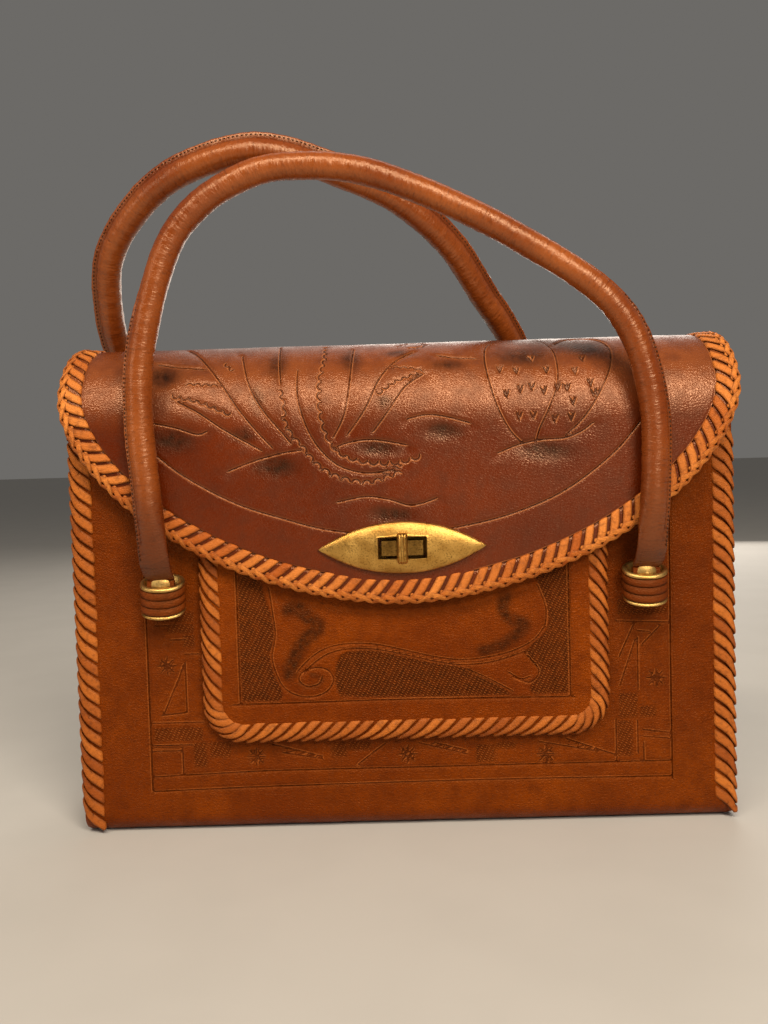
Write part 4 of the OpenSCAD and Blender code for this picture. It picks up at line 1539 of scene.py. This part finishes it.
@dataclass(frozen=True)
class FlapLacing:
    """The flap's laced edge, from the back wall's top to the other side."""

    shape: FlapShape

    STYLE, SEED = LaceStyle(pitch=6.4, reach=9.0, rim=2.6, leg_w=3.8, bead_w=2.7, slant=36), 21

    def build(self) -> None:
        """Lay the lacing."""
        s = self.shape
        k = np.linspace(0, 1, 400)
        runs = -s.arch_len + (s.tip_run + s.arch_len) * np.sin(k * math.pi / 2)
        left = np.stack([-s.half(runs), runs], 1)
        edge = np.vstack([left, left[::-1][1:] * (-1, 1)])
        strands = Strands("flap_whip_lacing")
        stack = (s.leather / 2, -s.leather / 2)
        Lacing(edge, -1, s.place, stack, self.STYLE, self.SEED).lay(strands)
        settle(strands.build(), Finish.LACE.material(), "lace_leather", "shell", "flap_lacing")


@dataclass(frozen=True)
class PocketLacing:
    """The whipped edge of the pocket, down one side, along the foot and up."""

    pocket: Pocket

    STYLE, SEED = LaceStyle(pitch=6.0, reach=7.2, rim=2.6, leg_w=3.45, bead_w=0.0, slant=45), 22

    def place(self, x: Array, down: Array, out: Array) -> Array:
        """Point of the pocket's flat sheet."""
        return np.stack([x, self.pocket.mid_y - out, -down], -1)

    def build(self) -> None:
        """Lay the lacing."""
        p = self.pocket
        half, r, low, high = p.high[0], p.CORNER_R, p.low[2], p.high[2]
        turn = np.linspace(0, math.pi / 2, 16)
        bend = np.stack([r - half - r * np.cos(turn), -(low + r) + r * np.sin(turn)], 1)
        left = np.vstack([[(-half, -high)], bend])
        edge = np.vstack([left, left[::-1] * (-1, 1)])
        thick = p.high[1] - p.low[1]
        strands = Strands("pocket_plait")
        Lacing(edge, -1, self.place, (thick / 2, -thick / 2), self.STYLE, self.SEED).lay(strands)
        settle(strands.build(), Finish.PLAIT.material(), "lace_leather", "shell", "pocket_lacing")


@dataclass(frozen=True)
class EdgeLacing:
    """Lacing down the four upright edges, round wall and gusset."""

    sizes: BagSizes

    STYLE, SEED = LaceStyle(pitch=6.3, reach=8.4, rim=2.6, leg_w=4.2, bead_w=0.0, slant=36), 30
    FOOT, HEAD, FLANGE = 4.0, 2.0, 1.85

    def _wall(self, sign: int) -> Place:
        """How places become points on the front wall, or by -1 on the back wall, turned about."""
        s = self.sizes

        def place(x: Array, down: Array, out: Array) -> Array:
            """Point of the wall."""
            y = -s.half_d + s.leather / 2 - out
            return np.stack([sign * x, sign * y, -down], -1)
        return place

    def build(self) -> None:
        """Lay the lacing of all four edges, a piece for each."""
        s = self.sizes
        stack = (s.leather / 2, -s.leather / 2 - self.FLANGE)
        top = s.wall_h - self.HEAD
        for rear in (False, True):
            for right in (False, True):
                node = f"lacing_{'rear' if rear else 'front'}_{'right' if right else 'left'}"
                side = 1 if right != rear else -1
                edge = np.array([(side * s.body_half, -top), (side * s.body_half, -self.FOOT)])
                strands = Strands(f"{node}_whip")
                place, seed = self._wall(-1 if rear else 1), self.SEED + 2 * rear + right
                Lacing(edge, side, place, stack, self.STYLE, seed).lay(strands)
                settle(strands.build(), Finish.PLAIT.material(), "lace_leather", "shell", node)


# Handles


@dataclass(frozen=True)
class HandleRoute:
    """One rolled handle as it hangs, seen from the front of its own wall.

    Attributes:
        node: the CAD node, which is also the body.
        route: across, and up from the flap's top, of points along the roll.
        lean: how far it leans out over the bag, per height.
        sign: -1 for the rear handle, whose depth is mirrored.
        seam_top: height up to which the sewn seam shows fully.
        fin: how far the seam stands out.
        fin_half: half the seam's thickness, as an angle of the roll.
    """

    node: str
    route: tuple[Point, ...]
    lean: float = 0.0
    sign: int = 1
    seam_top: float = 212.0
    fin: float = 1.3
    fin_half: float = 11.0


FRONT_ROUTE = HandleRoute("front_handle", (
    (-106, -66), (-108, -34), (-106, -4), (-95, 34), (-80.5, 53.5), (-58, 66), (-36, 68.5), (-10, 65),
    (23.5, 51.5), (54, 35), (84, 14.5), (99, -6.5), (106, -36), (106, -64)))
REAR_ROUTE = HandleRoute("rear_handle", (
    (-108, -66), (-122, -30), (-134, 2), (-134, 25.5), (-127, 45.5), (-106, 65), (-82, 75.5), (-53, 79),
    (-18, 69), (4, 59.5), (25, 43.5), (41, 23), (55, 4.5), (72, -26), (87, -56)),
    lean=0.76, sign=-1, seam_top=400.0, fin=2.6, fin_half=15.0)


class Handle:
    """A rolled handle, flat at its feet, with a sewn seam along its outer side."""

    GAP = 0.8
    RADIUS, FLAT = 5.5, 1.5
    CLEAR, LEAN_FROM = 1, 185.275
    # The foot: its start in the keeper, then out from the flap's face and up from the keeper
    FOOT_Y, FOOT_UP = -40.0, 0.6
    FOOT_STEPS = ((4.2, 9), (5.7, 19.8))
    FOOT_CURVE = 1.2
    ROLL_RISE, FLAT_FROM, FLAT_RISE, THIN_LEAST = 42.0, 4, 36.0, 0.2
    FIN_FADE, FIN_LEAST, FIN_RISE, FIN_EDGE = 30, 0.2, 4, 4
    CREASE, CREASE_AT, CREASE_WIDE, STAIN_WIDE = 0.35, 4, 3.0, 3.5
    # Wrinkles: height, scale round the roll, length and seed
    WRINKLES = ((0.1, 0.12, 5.5, 41), (0.12, 0.1, 17, 51))
    SEAM_ANGLES = (0, 2, 4, 6, 8, 10, 12, 14, 17, 20, 25)
    FOOT_DYE, FOOT_DYE_RISE = 0.85, 60
    STITCH, STITCH_GAP, STITCH_CLEAR = 0.9, 1.75, 12.0
    STITCH_RISE, STITCH_W, STITCH_T = (-0.15, 0.1, 0.1, -0.15), 0.55, 0.4
    SEWN_FROM, SEWN_SHARE = 0.7, 0.5

    def __init__(self, route: HandleRoute, shape: FlapShape) -> None:
        """Lay the handle's middle line and its frames.

        Args:
            route: where it hangs.
            shape: the flap that it passes over.
        """
        self.route = route
        low, high = box("ferrule_front_right")
        self.foot_half, self.mouth = (high[0] + low[0]) / 2, box("ferrule_front_left")[1][2]
        self.tongue = box("tongue_front_right")[1][0] - self.foot_half
        self.line = even_line(smooth_line(self._points(shape.front_y), 14), self.GAP)
        along = np.gradient(self.line, axis=0)
        along[0], along[-1] = (0, 0, 1), (0, 0, -1)
        along /= np.linalg.norm(along, axis=1)[:, None]
        over = np.cross((0, 1, 0), along)
        self.over = over / np.linalg.norm(over, axis=1)[:, None]
        self.deep = np.cross(along, self.over)
        self.run = np.arange(len(self.line)) * self.GAP
        z = self.line[:, 2]
        rise = z - self.mouth
        self.half_w = self.tongue + (self.RADIUS - self.tongue) * np.clip(rise / self.ROLL_RISE, 0, 1)
        self.half_d = self.FLAT + (self.RADIUS - self.FLAT) * ease((rise - self.FLAT_FROM) / self.FLAT_RISE)
        fade = ease((route.seam_top + self.FIN_FADE - z) / self.FIN_FADE)
        self.fin = route.fin * (self.FIN_LEAST + (1 - self.FIN_LEAST) * fade) * ease(rise / self.FIN_RISE)
        self.thin = np.clip(self.half_d / self.RADIUS, self.THIN_LEAST, 1)
        self.fin_angle = route.fin_half / self.thin

    def _points(self, out_y: float) -> Array:
        """Points that the roll passes through, from foot to foot, for a handle at the front."""
        top_z = box("flap")[1][2]
        foot = [(self.FOOT_Y, self.mouth + self.FOOT_UP)]
        foot += [(out_y - out, self.mouth + up) for out, up in self.FOOT_STEPS]
        roll = []
        for x, up in self.route.route:
            lean = self.route.lean * max(0.0, top_z + up - self.LEAN_FROM)
            roll.append((x, out_y - self.RADIUS - self.CLEAR + lean, top_z + up))
        ends = []
        for side, first in ((-1, roll[0]), (1, roll[-1])):
            start = side * self.foot_half
            share = [((z - self.mouth) / (first[2] - self.mouth)) ** self.FOOT_CURVE for _, z in foot]
            ends.append([(start + (first[0] - start) * k, y, z) for k, (y, z) in zip(share, foot)])
        return np.array(ends[0] + roll + ends[1][::-1])

    def ring(self, angle: Array) -> tuple[Array, Array]:
        """Half width and half depth of the section at each ring and angle."""
        turn = np.degrees(angle)[None]
        off = np.abs(turn - 180)
        run, thin, fin_angle = self.run[:, None], self.thin[:, None], self.fin_angle[:, None]
        fin = self.fin[:, None] * ease((fin_angle - off) / self.FIN_EDGE + 0.5)
        crease = np.exp(-((off - fin_angle - self.CREASE_AT) / self.CREASE_WIDE) ** 2)
        crease = -self.CREASE * thin * crease * (self.fin[:, None] / self.route.fin)
        rough = sum(
            height * ripple(turn * scale, run, size, seed + self.route.sign)
            for height, scale, size, seed in self.WRINKLES)
        return self.half_w[:, None] + fin + crease + rough, self.half_d[:, None] + crease + rough * thin

    def mirrored(self, points: Array) -> Array:
        """Points with their depth turned for the rear handle."""
        return points * (1, self.route.sign, 1)

    def build(self) -> None:
        """Make the roll and the thread of its seam."""
        off = np.concatenate([self.SEAM_ANGLES, np.linspace(32, 180, 16)])
        angle = np.radians(np.unique(np.round(np.concatenate([180 - off, 180 + off[1:-1]]), 3)))
        wide, deep = self.ring(angle)
        spots = self.line[:, None] + (wide * np.cos(angle))[..., None] * self.over[:, None]
        spots = spots + (deep * np.sin(angle))[..., None] * self.deep[:, None]
        rows, n = wide.shape
        k = np.arange(n)
        faces = [list(k), list((rows - 1) * n + k[::-1])]
        for i in range(rows - 1):
            a, b = i * n + k, i * n + (k + 1) % n
            faces += np.stack([a, a + n, b + n, b], 1).tolist()
        piece = new_object(f"rolled_{self.route.node}", self.mirrored(spots.reshape(-1, 3)), faces, 70)
        # Painted shade in the crease beside the seam, carried by the dye mask.
        beside = np.abs(np.degrees(angle) - 180) - self.fin_angle[:, None] - self.CREASE_AT
        stain = (self.fin / self.route.fin)[:, None] * np.exp(-(beside / self.STAIN_WIDE) ** 2)
        # The roll is darker towards its feet, through the dye mask.
        left = self.mouth + self.FOOT_DYE_RISE - self.line[:, 2]
        foot = self.FOOT_DYE * ease(left / self.FOOT_DYE_RISE)
        add_mask(piece, "along", np.repeat(self.run * MM, n))
        add_mask(piece, "around", np.tile(np.cos(angle) + 0.5 * np.sin(angle), rows))
        add_mask(piece, "dye", np.maximum(stain, foot[:, None]).ravel())
        settle(piece, Finish.ROLL.material(), "handle_leather", self.route.node, self.route.node)
        self._thread()

    def _thread(self) -> None:
        """Make the stitches on both faces of the seam."""
        strands = Strands(f"{self.route.node}_thread")
        count = len(self.STITCH_RISE)
        width, thick = np.full(count, self.STITCH_W), np.full(count, self.STITCH_T)
        for face in (-1, 1):
            for start in np.arange(self.STITCH_CLEAR, self.run[-1] - self.STITCH_CLEAR, self.STITCH_GAP):
                at = start + np.linspace(0, self.STITCH, count)
                i = np.clip(np.round(at / self.GAP).astype(int), 0, len(self.run) - 1)
                if self.fin[i].min() < self.SEWN_FROM * self.route.fin:
                    continue
                line = np.stack([np.interp(at, self.run, self.line[:, c]) for c in range(3)], 1)
                out = self.half_w[i] + self.SEWN_SHARE * self.fin[i]
                rise = self.half_d[i] * np.sin(np.radians(self.fin_angle[i] - 1)) + self.STITCH_RISE
                normal = face * self.deep[i]
                spots = line - out[:, None] * self.over[i] + (face * rise)[:, None] * self.deep[i]
                strands.add(self.mirrored(spots), self.mirrored(normal), width, thick, 0.0)
        settle(strands.build(), Finish.THREAD.material(), "handle_leather", self.route.node)


# Keepers and lock


class Keeper:
    """One brass keeper with its ribbed leather band."""

    SIDES = 64
    WIDE, DEEP, TURN = 17.5, 12.0, 0.42
    SQUARE, WALL_GAP = 0.95, 0.05
    # Rims of the brass: half height and how far each stands out
    FOOT_RIM, HEAD_RIM, RIM_OUT, RIM_STEPS = (0.7, 0.75), (0.9, 0.85), 0.1, 9
    # The bore: in from each end, and growth
    BORE = ((0.1, -0.6), (0.5, -1.0))
    BAND_FOOT, BAND_HEAD, BAND_IN, BAND_OUT = 1.5, 1.9, 0.1, 0.3
    RIBS, RIB_STEPS, RIB_OUT, RIB_ROUND = 3, 10, 0.75, 0.55

    def __init__(self, sizes: BagSizes, rear: bool, right: bool) -> None:
        """Find the keeper's place.

        Args:
            sizes: the bag's main sizes.
            rear, right: which keeper.
        """
        self.tail = f"{'rear' if rear else 'front'}_{'right' if right else 'left'}"
        low, high = box(f"ferrule_{self.tail}")
        self.x, self.low, self.high = (low[0] + high[0]) / 2, low[2], high[2]
        self.sign = -1 if rear else 1
        self.wall = -sizes.half_d

    def ring(self, grow: float) -> Array:
        """Outline of the keeper from above, grown outwards and held at the wall."""
        angle = 2 * math.pi * (np.arange(self.SIDES) + 0.5) / self.SIDES
        x = (self.WIDE / 2 + grow) * np.sign(np.cos(angle)) * np.abs(np.cos(angle)) ** self.SQUARE
        y = (self.DEEP / 2 + grow) * np.sign(np.sin(angle)) * np.abs(np.sin(angle)) ** self.SQUARE
        return np.stack([x, np.minimum(y - self.DEEP / 2, -self.WALL_GAP)], 1)

    def _turned(self, name: str, profile: Sequence[Point]) -> Piece:
        """Turn a closed profile of (height, growth) round the keeper's outline."""
        rings = []
        for z, grow in profile:
            x, y = self.ring(grow).T
            tilt = self.TURN * (y + self.DEEP / 2)
            rings.append(np.stack([self.x + x, self.sign * (self.wall + y), z + tilt], 1))
        return loft(name, rings, True, 60)

    def build(self) -> None:
        """Make the ferrule and the band."""
        self._brass()
        self._band()

    def _brass(self) -> None:
        """Make the ferrule, a tube with two round rims."""
        turns = np.linspace(-math.pi / 2, math.pi / 2, self.RIM_STEPS)
        profile = []
        for (tall, out), middle in (
            (self.FOOT_RIM, self.low + self.FOOT_RIM[0]), (self.HEAD_RIM, self.high - self.HEAD_RIM[0]),
        ):
            profile += [(middle + tall * math.sin(a), self.RIM_OUT + out * math.cos(a)) for a in turns]
        profile += [(self.high - inset, grow) for inset, grow in self.BORE]
        profile += [(self.low + inset, grow) for inset, grow in self.BORE[::-1]]
        brass = self._turned(f"keeper_brass_{self.tail}", profile)
        settle(brass, Finish.BRIGHT_BRASS.material(), "brass", "shell", f"ferrule_{self.tail}")

    def _band(self) -> None:
        """Make the ribbed band between the rims."""
        low, high = self.low + self.BAND_FOOT, self.high - self.BAND_HEAD
        z = np.linspace(low, high, self.RIBS * self.RIB_STEPS + 1)
        swell = np.abs(np.sin((z - low) / (high - low) * math.pi * self.RIBS)) ** self.RIB_ROUND
        grow = self.BAND_OUT + self.RIB_OUT * swell
        profile = list(zip(z, grow)) + [(high, self.BAND_IN), (low, self.BAND_IN)]
        band = self._turned(f"keeper_band_{self.tail}", profile)
        # Painted shade: the dye mask darkens the band between its ribs and on its inner face.
        add_mask(band, "dye", np.repeat(np.concatenate([1 - swell, [1, 1]]) ** 2, self.SIDES))
        settle(band, Finish.KEEPER.material(), "handle_leather", "shell", f"band_{self.tail}")


class Lock:
    """The turn lock: domed plate on the flap and grooved button."""

    SIDES = 192
    EDGE, CROWN = 1.1, 2.8
    DOME_POWER, DOME_ROUND, TOP_LEAST = 2.4, 0.6, 0.05
    SLOT_HALF, SLOT_BACK = (10.0, 4.4), 0.3
    # The lip round the slot: out from the slot, and height over the dome
    SLOT_LIP = ((0.0, -0.75), (0.12, -0.35), (0.5, 0.12), (0.95, 0.18), (1.35, 0.0))
    DOME_RINGS, DOME_FIRST, DOME_INSET, BACK_INSET = 22, 0.06, 0.35, 1.5
    # The rounded edge: in from the outline, and height as a share of the edge
    EDGE_ROWS = ((0.1, 0.8), (0.0, 0.4), (0.05, 0.0))
    TIP_BROWN, TIP_POWER, RIM_POWER = 0.6, 4, 5
    BUTTON_SIDES, BUTTON_RINGS = 40, 25
    BUTTON_GAP, END_POWER, FRONT_ROUND = 0.1, 5, 0.8
    WAIST, WAIST_WIDE = 0.14, 2.2
    END_WIDE, END_DEEP = 0.62, 0.35
    GROOVE, GROOVE_AT, GROOVE_WIDE, GROOVE_FROM = 0.7, 0.85, 0.38, 0.8
    STEM_R, STEM_OVERLAP = 1.6, 0.2

    def __init__(self) -> None:
        """Find the plate in the frame."""
        self.low, self.high = box("lock_plate")
        self.half_l = (self.high[0] - self.low[0]) / 2
        self.half_h = (self.high[2] - self.low[2]) / 2
        self.mid_z = (self.high[2] + self.low[2]) / 2
        self.back = self.high[1]
        self.arc = (self.half_l ** 2 + self.half_h ** 2) / (2 * self.half_h)
        angle = 2 * math.pi * np.arange(self.SIDES) / self.SIDES
        self.tip = np.stack([np.cos(angle), np.sin(angle)], 1)

    def build(self) -> None:
        """Make the plate and the button."""
        self._plate()
        self._button()

    def _outer(self) -> Array:
        """Distance to the pointed oval's edge in each direction."""
        drop = (self.arc - self.half_h) * np.abs(self.tip[:, 1])
        return -drop + np.sqrt(drop ** 2 + self.arc ** 2 - (self.arc - self.half_h) ** 2)

    def _dome(self, reach: Array) -> Array:
        """Height of the domed plate at a reach outwards."""
        top = np.sqrt(self.arc ** 2 - (reach * self.tip[:, 0]) ** 2) - (self.arc - self.half_h)
        top = np.maximum(top, self.TOP_LEAST)
        full = np.clip(1 - (reach * np.abs(self.tip[:, 1]) / top) ** self.DOME_POWER, 0, 1) ** self.DOME_ROUND
        return self.EDGE + self.CROWN * full * (top / self.half_h) ** self.DOME_ROUND

    def _plate(self) -> None:
        """Loft the plate from its slot out to the edge, round it and back."""
        outer, flat = self._outer(), np.ones(self.SIDES)
        slot = np.min(self.SLOT_HALF / (np.abs(self.tip) + TINY), 1)
        start = self.SLOT_LIP[-1][0]
        rings = [(slot, self.SLOT_BACK * flat)]
        for inset, lift in self.SLOT_LIP:
            rings.append((slot + inset, self._dome(slot + inset) + lift))
        for k in np.linspace(self.DOME_FIRST, 1, self.DOME_RINGS):
            reach = slot + start + (outer - self.DOME_INSET - slot - start) * k
            rings.append((reach, self._dome(reach)))
        rings += [(outer - inset, self.EDGE * share * flat) for inset, share in self.EDGE_ROWS]
        rings.append((slot + self.BACK_INSET, 0 * flat))
        spots = [
            np.stack([reach * self.tip[:, 0], self.back - height, self.mid_z + reach * self.tip[:, 1]], 1)
            for reach, height in rings
        ]
        piece = loft("turn_lock_plate", spots, True, 40)
        add_mask(piece, "rim", np.concatenate([self._rim(spot) for spot in spots]))
        settle(piece, Finish.BRASS.material(), "brass", "shell", "lock_plate")

    def _rim(self, spots: Array) -> Array:
        """How brown each point is, most at the edges and both tips."""
        up = np.abs(spots[:, 2] - self.mid_z) / self.half_h
        along = np.abs(spots[:, 0] / self.half_l) ** self.TIP_POWER * self.TIP_BROWN
        return np.clip(up + along, 0, 1) ** self.RIM_POWER

    def _button(self) -> None:
        """Loft the button along its length, with two grooves and a stem."""
        low, high = box("turn_button")
        half = (high[2] - low[2]) / 2
        back = self.low[1] - self.BUTTON_GAP
        deep, wide = back - low[1], (high[0] - low[0]) / 2
        n = self.BUTTON_SIDES
        angle = 2 * math.pi * np.arange(n) / n
        spots = []
        for z in half * np.sin(np.linspace(-math.pi / 2, math.pi / 2, self.BUTTON_RINGS)):
            full = max(1 - (abs(z) / half) ** self.END_POWER, 0.0) ** 0.5
            waist = 1 - self.WAIST * math.exp(-(z / self.WAIST_WIDE) ** 2)
            x = wide * waist * (self.END_WIDE + (1 - self.END_WIDE) * full) * np.cos(angle)
            groove = self.GROOVE * sum(
                np.exp(-((x - at) / self.GROOVE_WIDE) ** 2) for at in (self.GROOVE_AT, -self.GROOVE_AT))
            front = np.maximum(-np.sin(angle), 0) ** self.FRONT_ROUND
            front = front * deep * (self.END_DEEP + (1 - self.END_DEEP) * full)
            y = back - np.maximum(front - groove * (front > self.GROOVE_FROM), 0)
            spots.append(np.stack([x, y, np.full(n, self.mid_z + z)], 1))
        stem = np.stack([np.cos(angle), np.zeros(n), np.sin(angle)], 1) * self.STEM_R + (0, 0, self.mid_z)
        ends = [stem + (0, back - self.STEM_OVERLAP, 0), stem + (0, high[1], 0)]
        settle(loft("lock_stem", ends, False, 45), Finish.BRASS.material(), "brass", "turn_button")
        button = loft("lock_button", spots, False, 45)
        settle(button, Finish.BRASS.material(), "brass", "turn_button", "turn_button")


# Sides, back and what stays from the CAD


class Gusset:
    """A pleated side panel with soft folds."""

    THICK = 1.8
    PLEAT, WEB_GAP = 12.0, 1.0
    COLUMNS, COARSE, STEP = 61, 4, 1.2
    FLOOR_GAP = 0.1

    def __init__(self, sizes: BagSizes, right: bool) -> None:
        """Lay the panel's section.

        Args:
            sizes: the bag's main sizes.
            right: which side.
        """
        self.node = f"gusset_{'right' if right else 'left'}"
        self.sign = 1 if right else -1
        low, high = box(self.node)
        self.top = high[2]
        inner, outer = sorted((abs(low[0]), abs(high[0])))
        flange = high[1] - self.THICK / 2
        web = inner + self.PLEAT + self.WEB_GAP
        fold = web - self.PLEAT
        half = [
            (outer, flange), (web + 2.5, flange), (web, flange - 2), (web - 5, flange / 2 + 1),
            (fold + 1.2, 2.5)]
        path = [(x, -y) for x, y in half] + [(fold + 0.6, 0)] + half[::-1]
        self.path = even_line(smooth_line(path, 8), self.STEP)
        self.run = np.arange(len(self.path), dtype=float)
        way = np.gradient(self.path, axis=0)
        way /= np.linalg.norm(way, axis=1)[:, None]
        self.face = np.stack([way[:, 1], -way[:, 0]], 1)
        inset = sizes.leather + self.FLOOR_GAP
        bend = sizes.fold_r - inset
        past = np.abs(self.path[:, 1]) + self.THICK / 2 - (sizes.half_d - sizes.fold_r)
        past = np.clip(past, 0, bend)
        self.floor = inset + bend - np.sqrt(bend ** 2 - past ** 2)
        self.half = (self.top - self.floor) / 2

    def place(self, x: Array, v: Array, out: Array) -> Array:
        """Point of the panel: x is the height from its middle, v the run."""
        at = [np.interp(v, self.run, self.path[:, i]) for i in range(2)]
        face = [np.interp(v, self.run, self.face[:, i]) for i in range(2)]
        z = self.top - np.interp(v, self.run, self.half) + x
        return np.stack([self.sign * (at[0] + out * face[0]), at[1] + out * face[1], z], -1)

    def build(self) -> None:
        """Make the panel."""
        sheet = Sheet(
            f"pleated_{self.node}", self.run, self.half, self.COLUMNS, self.place, self.THICK, Relief(),
            wave=0.0, coarse=self.COARSE)
        settle(sheet.build(), Finish.GUSSET.material(), "body_leather", "shell", self.node)


@dataclass(frozen=True)
class BackSeam:
    """Stitches that hold the flap's end to the back wall."""

    shape: FlapShape

    INSET, ROW_GAP, MARGIN = 4.0, 12, 5.0
    LENGTH, GAP, WIDE, THICK = 2.8, 4.2, 0.9, 0.6
    RISE = (-0.3, 0.15, 0.2, 0.15, -0.3)
    TONE = 0.5

    def build(self) -> None:
        """Make two rows of stitches."""
        s = self.shape
        strands = Strands("flap_seam_thread")
        rise = s.leather / 2 + np.array(self.RISE)
        count = len(rise)
        wide, thick = np.full(count, self.WIDE), np.full(count, self.THICK)
        for row in (self.INSET, self.INSET + self.ROW_GAP):
            run = np.full(count, s.seam_run + row)
            half = float(s.half(run)[0]) - self.MARGIN
            for start in np.arange(-half, half - self.LENGTH, self.GAP):
                x = start + np.linspace(0, self.LENGTH, count)
                strands.add(s.place(x, run, rise), s.face(run), wide, thick, self.TONE)
        settle(strands.build(), Finish.THREAD.material(), "lace_leather", "shell")


class KeptNodes:
    """CAD pieces whose shape is right, with a better finish."""

    TAILS = ("front_left", "front_right", "rear_left", "rear_right")
    FINISHES = {
        "base_board": Finish.BOARD, "lock_back_plate": Finish.BRASS, "lock_base": Finish.DARK_BRASS,
        "keeper_rivets": Finish.BRIGHT_BRASS, **{f"tongue_{tail}": Finish.KEEPER for tail in TAILS},
    }

    def build(self) -> None:
        """Change the materials of the kept nodes."""
        for name, finish in self.FINISHES.items():
            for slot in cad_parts[name].material_slots:
                slot.material = finish.material()
            LOG.info("%s: kept from the CAD", name)


# Stage


@dataclass(frozen=True)
class PhotoCamera:
    """Where the photograph was taken from, in millimetres and degrees."""

    place: tuple[float, float, float] = (-3.5, -450.2, 159.9)
    yaw: float = -0.54
    pitch: float = -2.82
    roll: float = -1.67
    focal_px: float = 960.3
    image_w: int = 768
    sensor_mm: float = 36.0

    def build(self) -> None:
        """Make the scene's camera."""
        data = bpy.data.cameras.new("photo_camera")
        data.sensor_fit = "HORIZONTAL"
        data.sensor_width = self.sensor_mm
        data.lens = self.focal_px / self.image_w * self.sensor_mm
        data.clip_start = 0.01
        camera = bpy.data.objects.new("photo_camera", data)
        turn = Matrix.Rotation(math.radians(-self.yaw), 4, "Z")
        turn = turn @ Matrix.Rotation(math.radians(90 + self.pitch), 4, "X")
        turn = turn @ Matrix.Rotation(math.radians(self.roll), 4, "Z")
        camera.matrix_world = Matrix.Translation(Vector(self.place) * MM) @ turn
        bpy.context.collection.objects.link(camera)
        bpy.context.scene.camera = camera


@dataclass(frozen=True)
class AreaLight:
    """One soft light, in metres and watts."""

    name: str
    place: tuple[float, float, float]
    target: tuple[float, float, float]
    size: Point
    power: float
    colour: Colour

    def build(self) -> None:
        """Make the light and point it at its target."""
        data = bpy.data.lights.new(self.name, "AREA")
        data.shape, data.energy, data.color = "RECTANGLE", self.power, self.colour
        data.size, data.size_y = self.size
        light = bpy.data.objects.new(self.name, data)
        light.location = self.place
        way = Vector(self.target) - Vector(self.place)
        light.rotation_euler = way.to_track_quat("-Z", "Y").to_euler()
        bpy.context.collection.objects.link(light)


class Stage:
    """Pale floor and soft studio light."""

    FLOOR, FLOOR_PATCH = srgb(190, 186, 180), srgb(182, 178, 172)
    FLOOR_HALF, FLOOR_Z, FLOOR_ROUGHNESS = 40000.0, -0.4, 0.7
    SKY, SKY_STRENGTH = (1.0, 0.96, 0.9, 1), 0.15
    LIGHTS = (
        AreaLight("key", (-0.1, -0.8, 1.12), (0, -0.03, 0.16), (1.3, 0.24), 16.0, (1.0, 0.88, 0.72)),
        AreaLight("front", (0.45, -1.3, 0.45), (0, 0, 0.12), (0.7, 0.7), 1.8, (1.0, 0.92, 0.82)),
        AreaLight("right", (0.42, -1.0, 0.78), (0.06, 0, 0.16), (0.4, 0.22), 8.0, (1.0, 0.9, 0.76)),
        AreaLight("left", (-1.1, -0.6, 0.5), (0, 0, 0.12), (0.3, 0.6), 2.0, (1.0, 0.92, 0.82)),
        AreaLight("back", (0.35, 1.3, 0.45), (0, 0, 0.12), (0.8, 0.8), 6.0, (1.0, 0.92, 0.82)),
        AreaLight("rim", (0.1, 0.9, 0.9), (0, 0, 0.16), (0.9, 0.9), 1.9, (1.0, 0.93, 0.84)),
    )

    def build(self) -> None:
        """Make the floor, the lights and the world."""
        self._floor()
        for light in self.LIGHTS:
            light.build()
        world = bpy.data.worlds.new("studio")
        world.use_nodes = True
        sky = world.node_tree.nodes["Background"]
        sky.inputs[0].default_value = self.SKY
        sky.inputs[1].default_value = self.SKY_STRENGTH
        bpy.context.scene.world = world
        bpy.context.scene.view_settings.view_transform = "Standard"

    def _floor(self) -> None:
        """Make the floor, just below the bag."""
        s = Shader("pale_floor")
        tone = s.mix(s.span(s.noise(60, 3), 0.4, 0.6, 0, 0.3), self.FLOOR, self.FLOOR_PATCH)
        material = s.finish(tone, self.FLOOR_ROUGHNESS, s.noise(2, 2), 0.02)
        bm = bmesh.new()
        drop = Matrix.Translation((0, 0, self.FLOOR_Z * MM))
        bmesh.ops.create_grid(bm, x_segments=1, y_segments=1, size=self.FLOOR_HALF * MM, matrix=drop)
        floor = finish_mesh("floor", bm, 30)
        floor.data.materials.append(material)


def main() -> None:
    """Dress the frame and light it."""
    logging.basicConfig(level=logging.INFO, format="%(name)s: %(message)s")
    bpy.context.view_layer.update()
    PhotoCamera().build()
    Stage().build()
    sizes, shape = BagSizes(), FlapShape()
    pocket = Pocket()
    parts = [
        Body(sizes), pocket, Flap(shape), FlapLacing(shape), PocketLacing(pocket), EdgeLacing(sizes),
        Handle(FRONT_ROUTE, shape), Handle(REAR_ROUTE, shape), Lock(), BackSeam(shape), KeptNodes(),
    ]
    parts += [Gusset(sizes, right) for right in (False, True)]
    parts += [Keeper(sizes, rear, right) for rear in (False, True) for right in (False, True)]
    for part in parts:
        part.build()


if __name__ == "__main__":
    main()
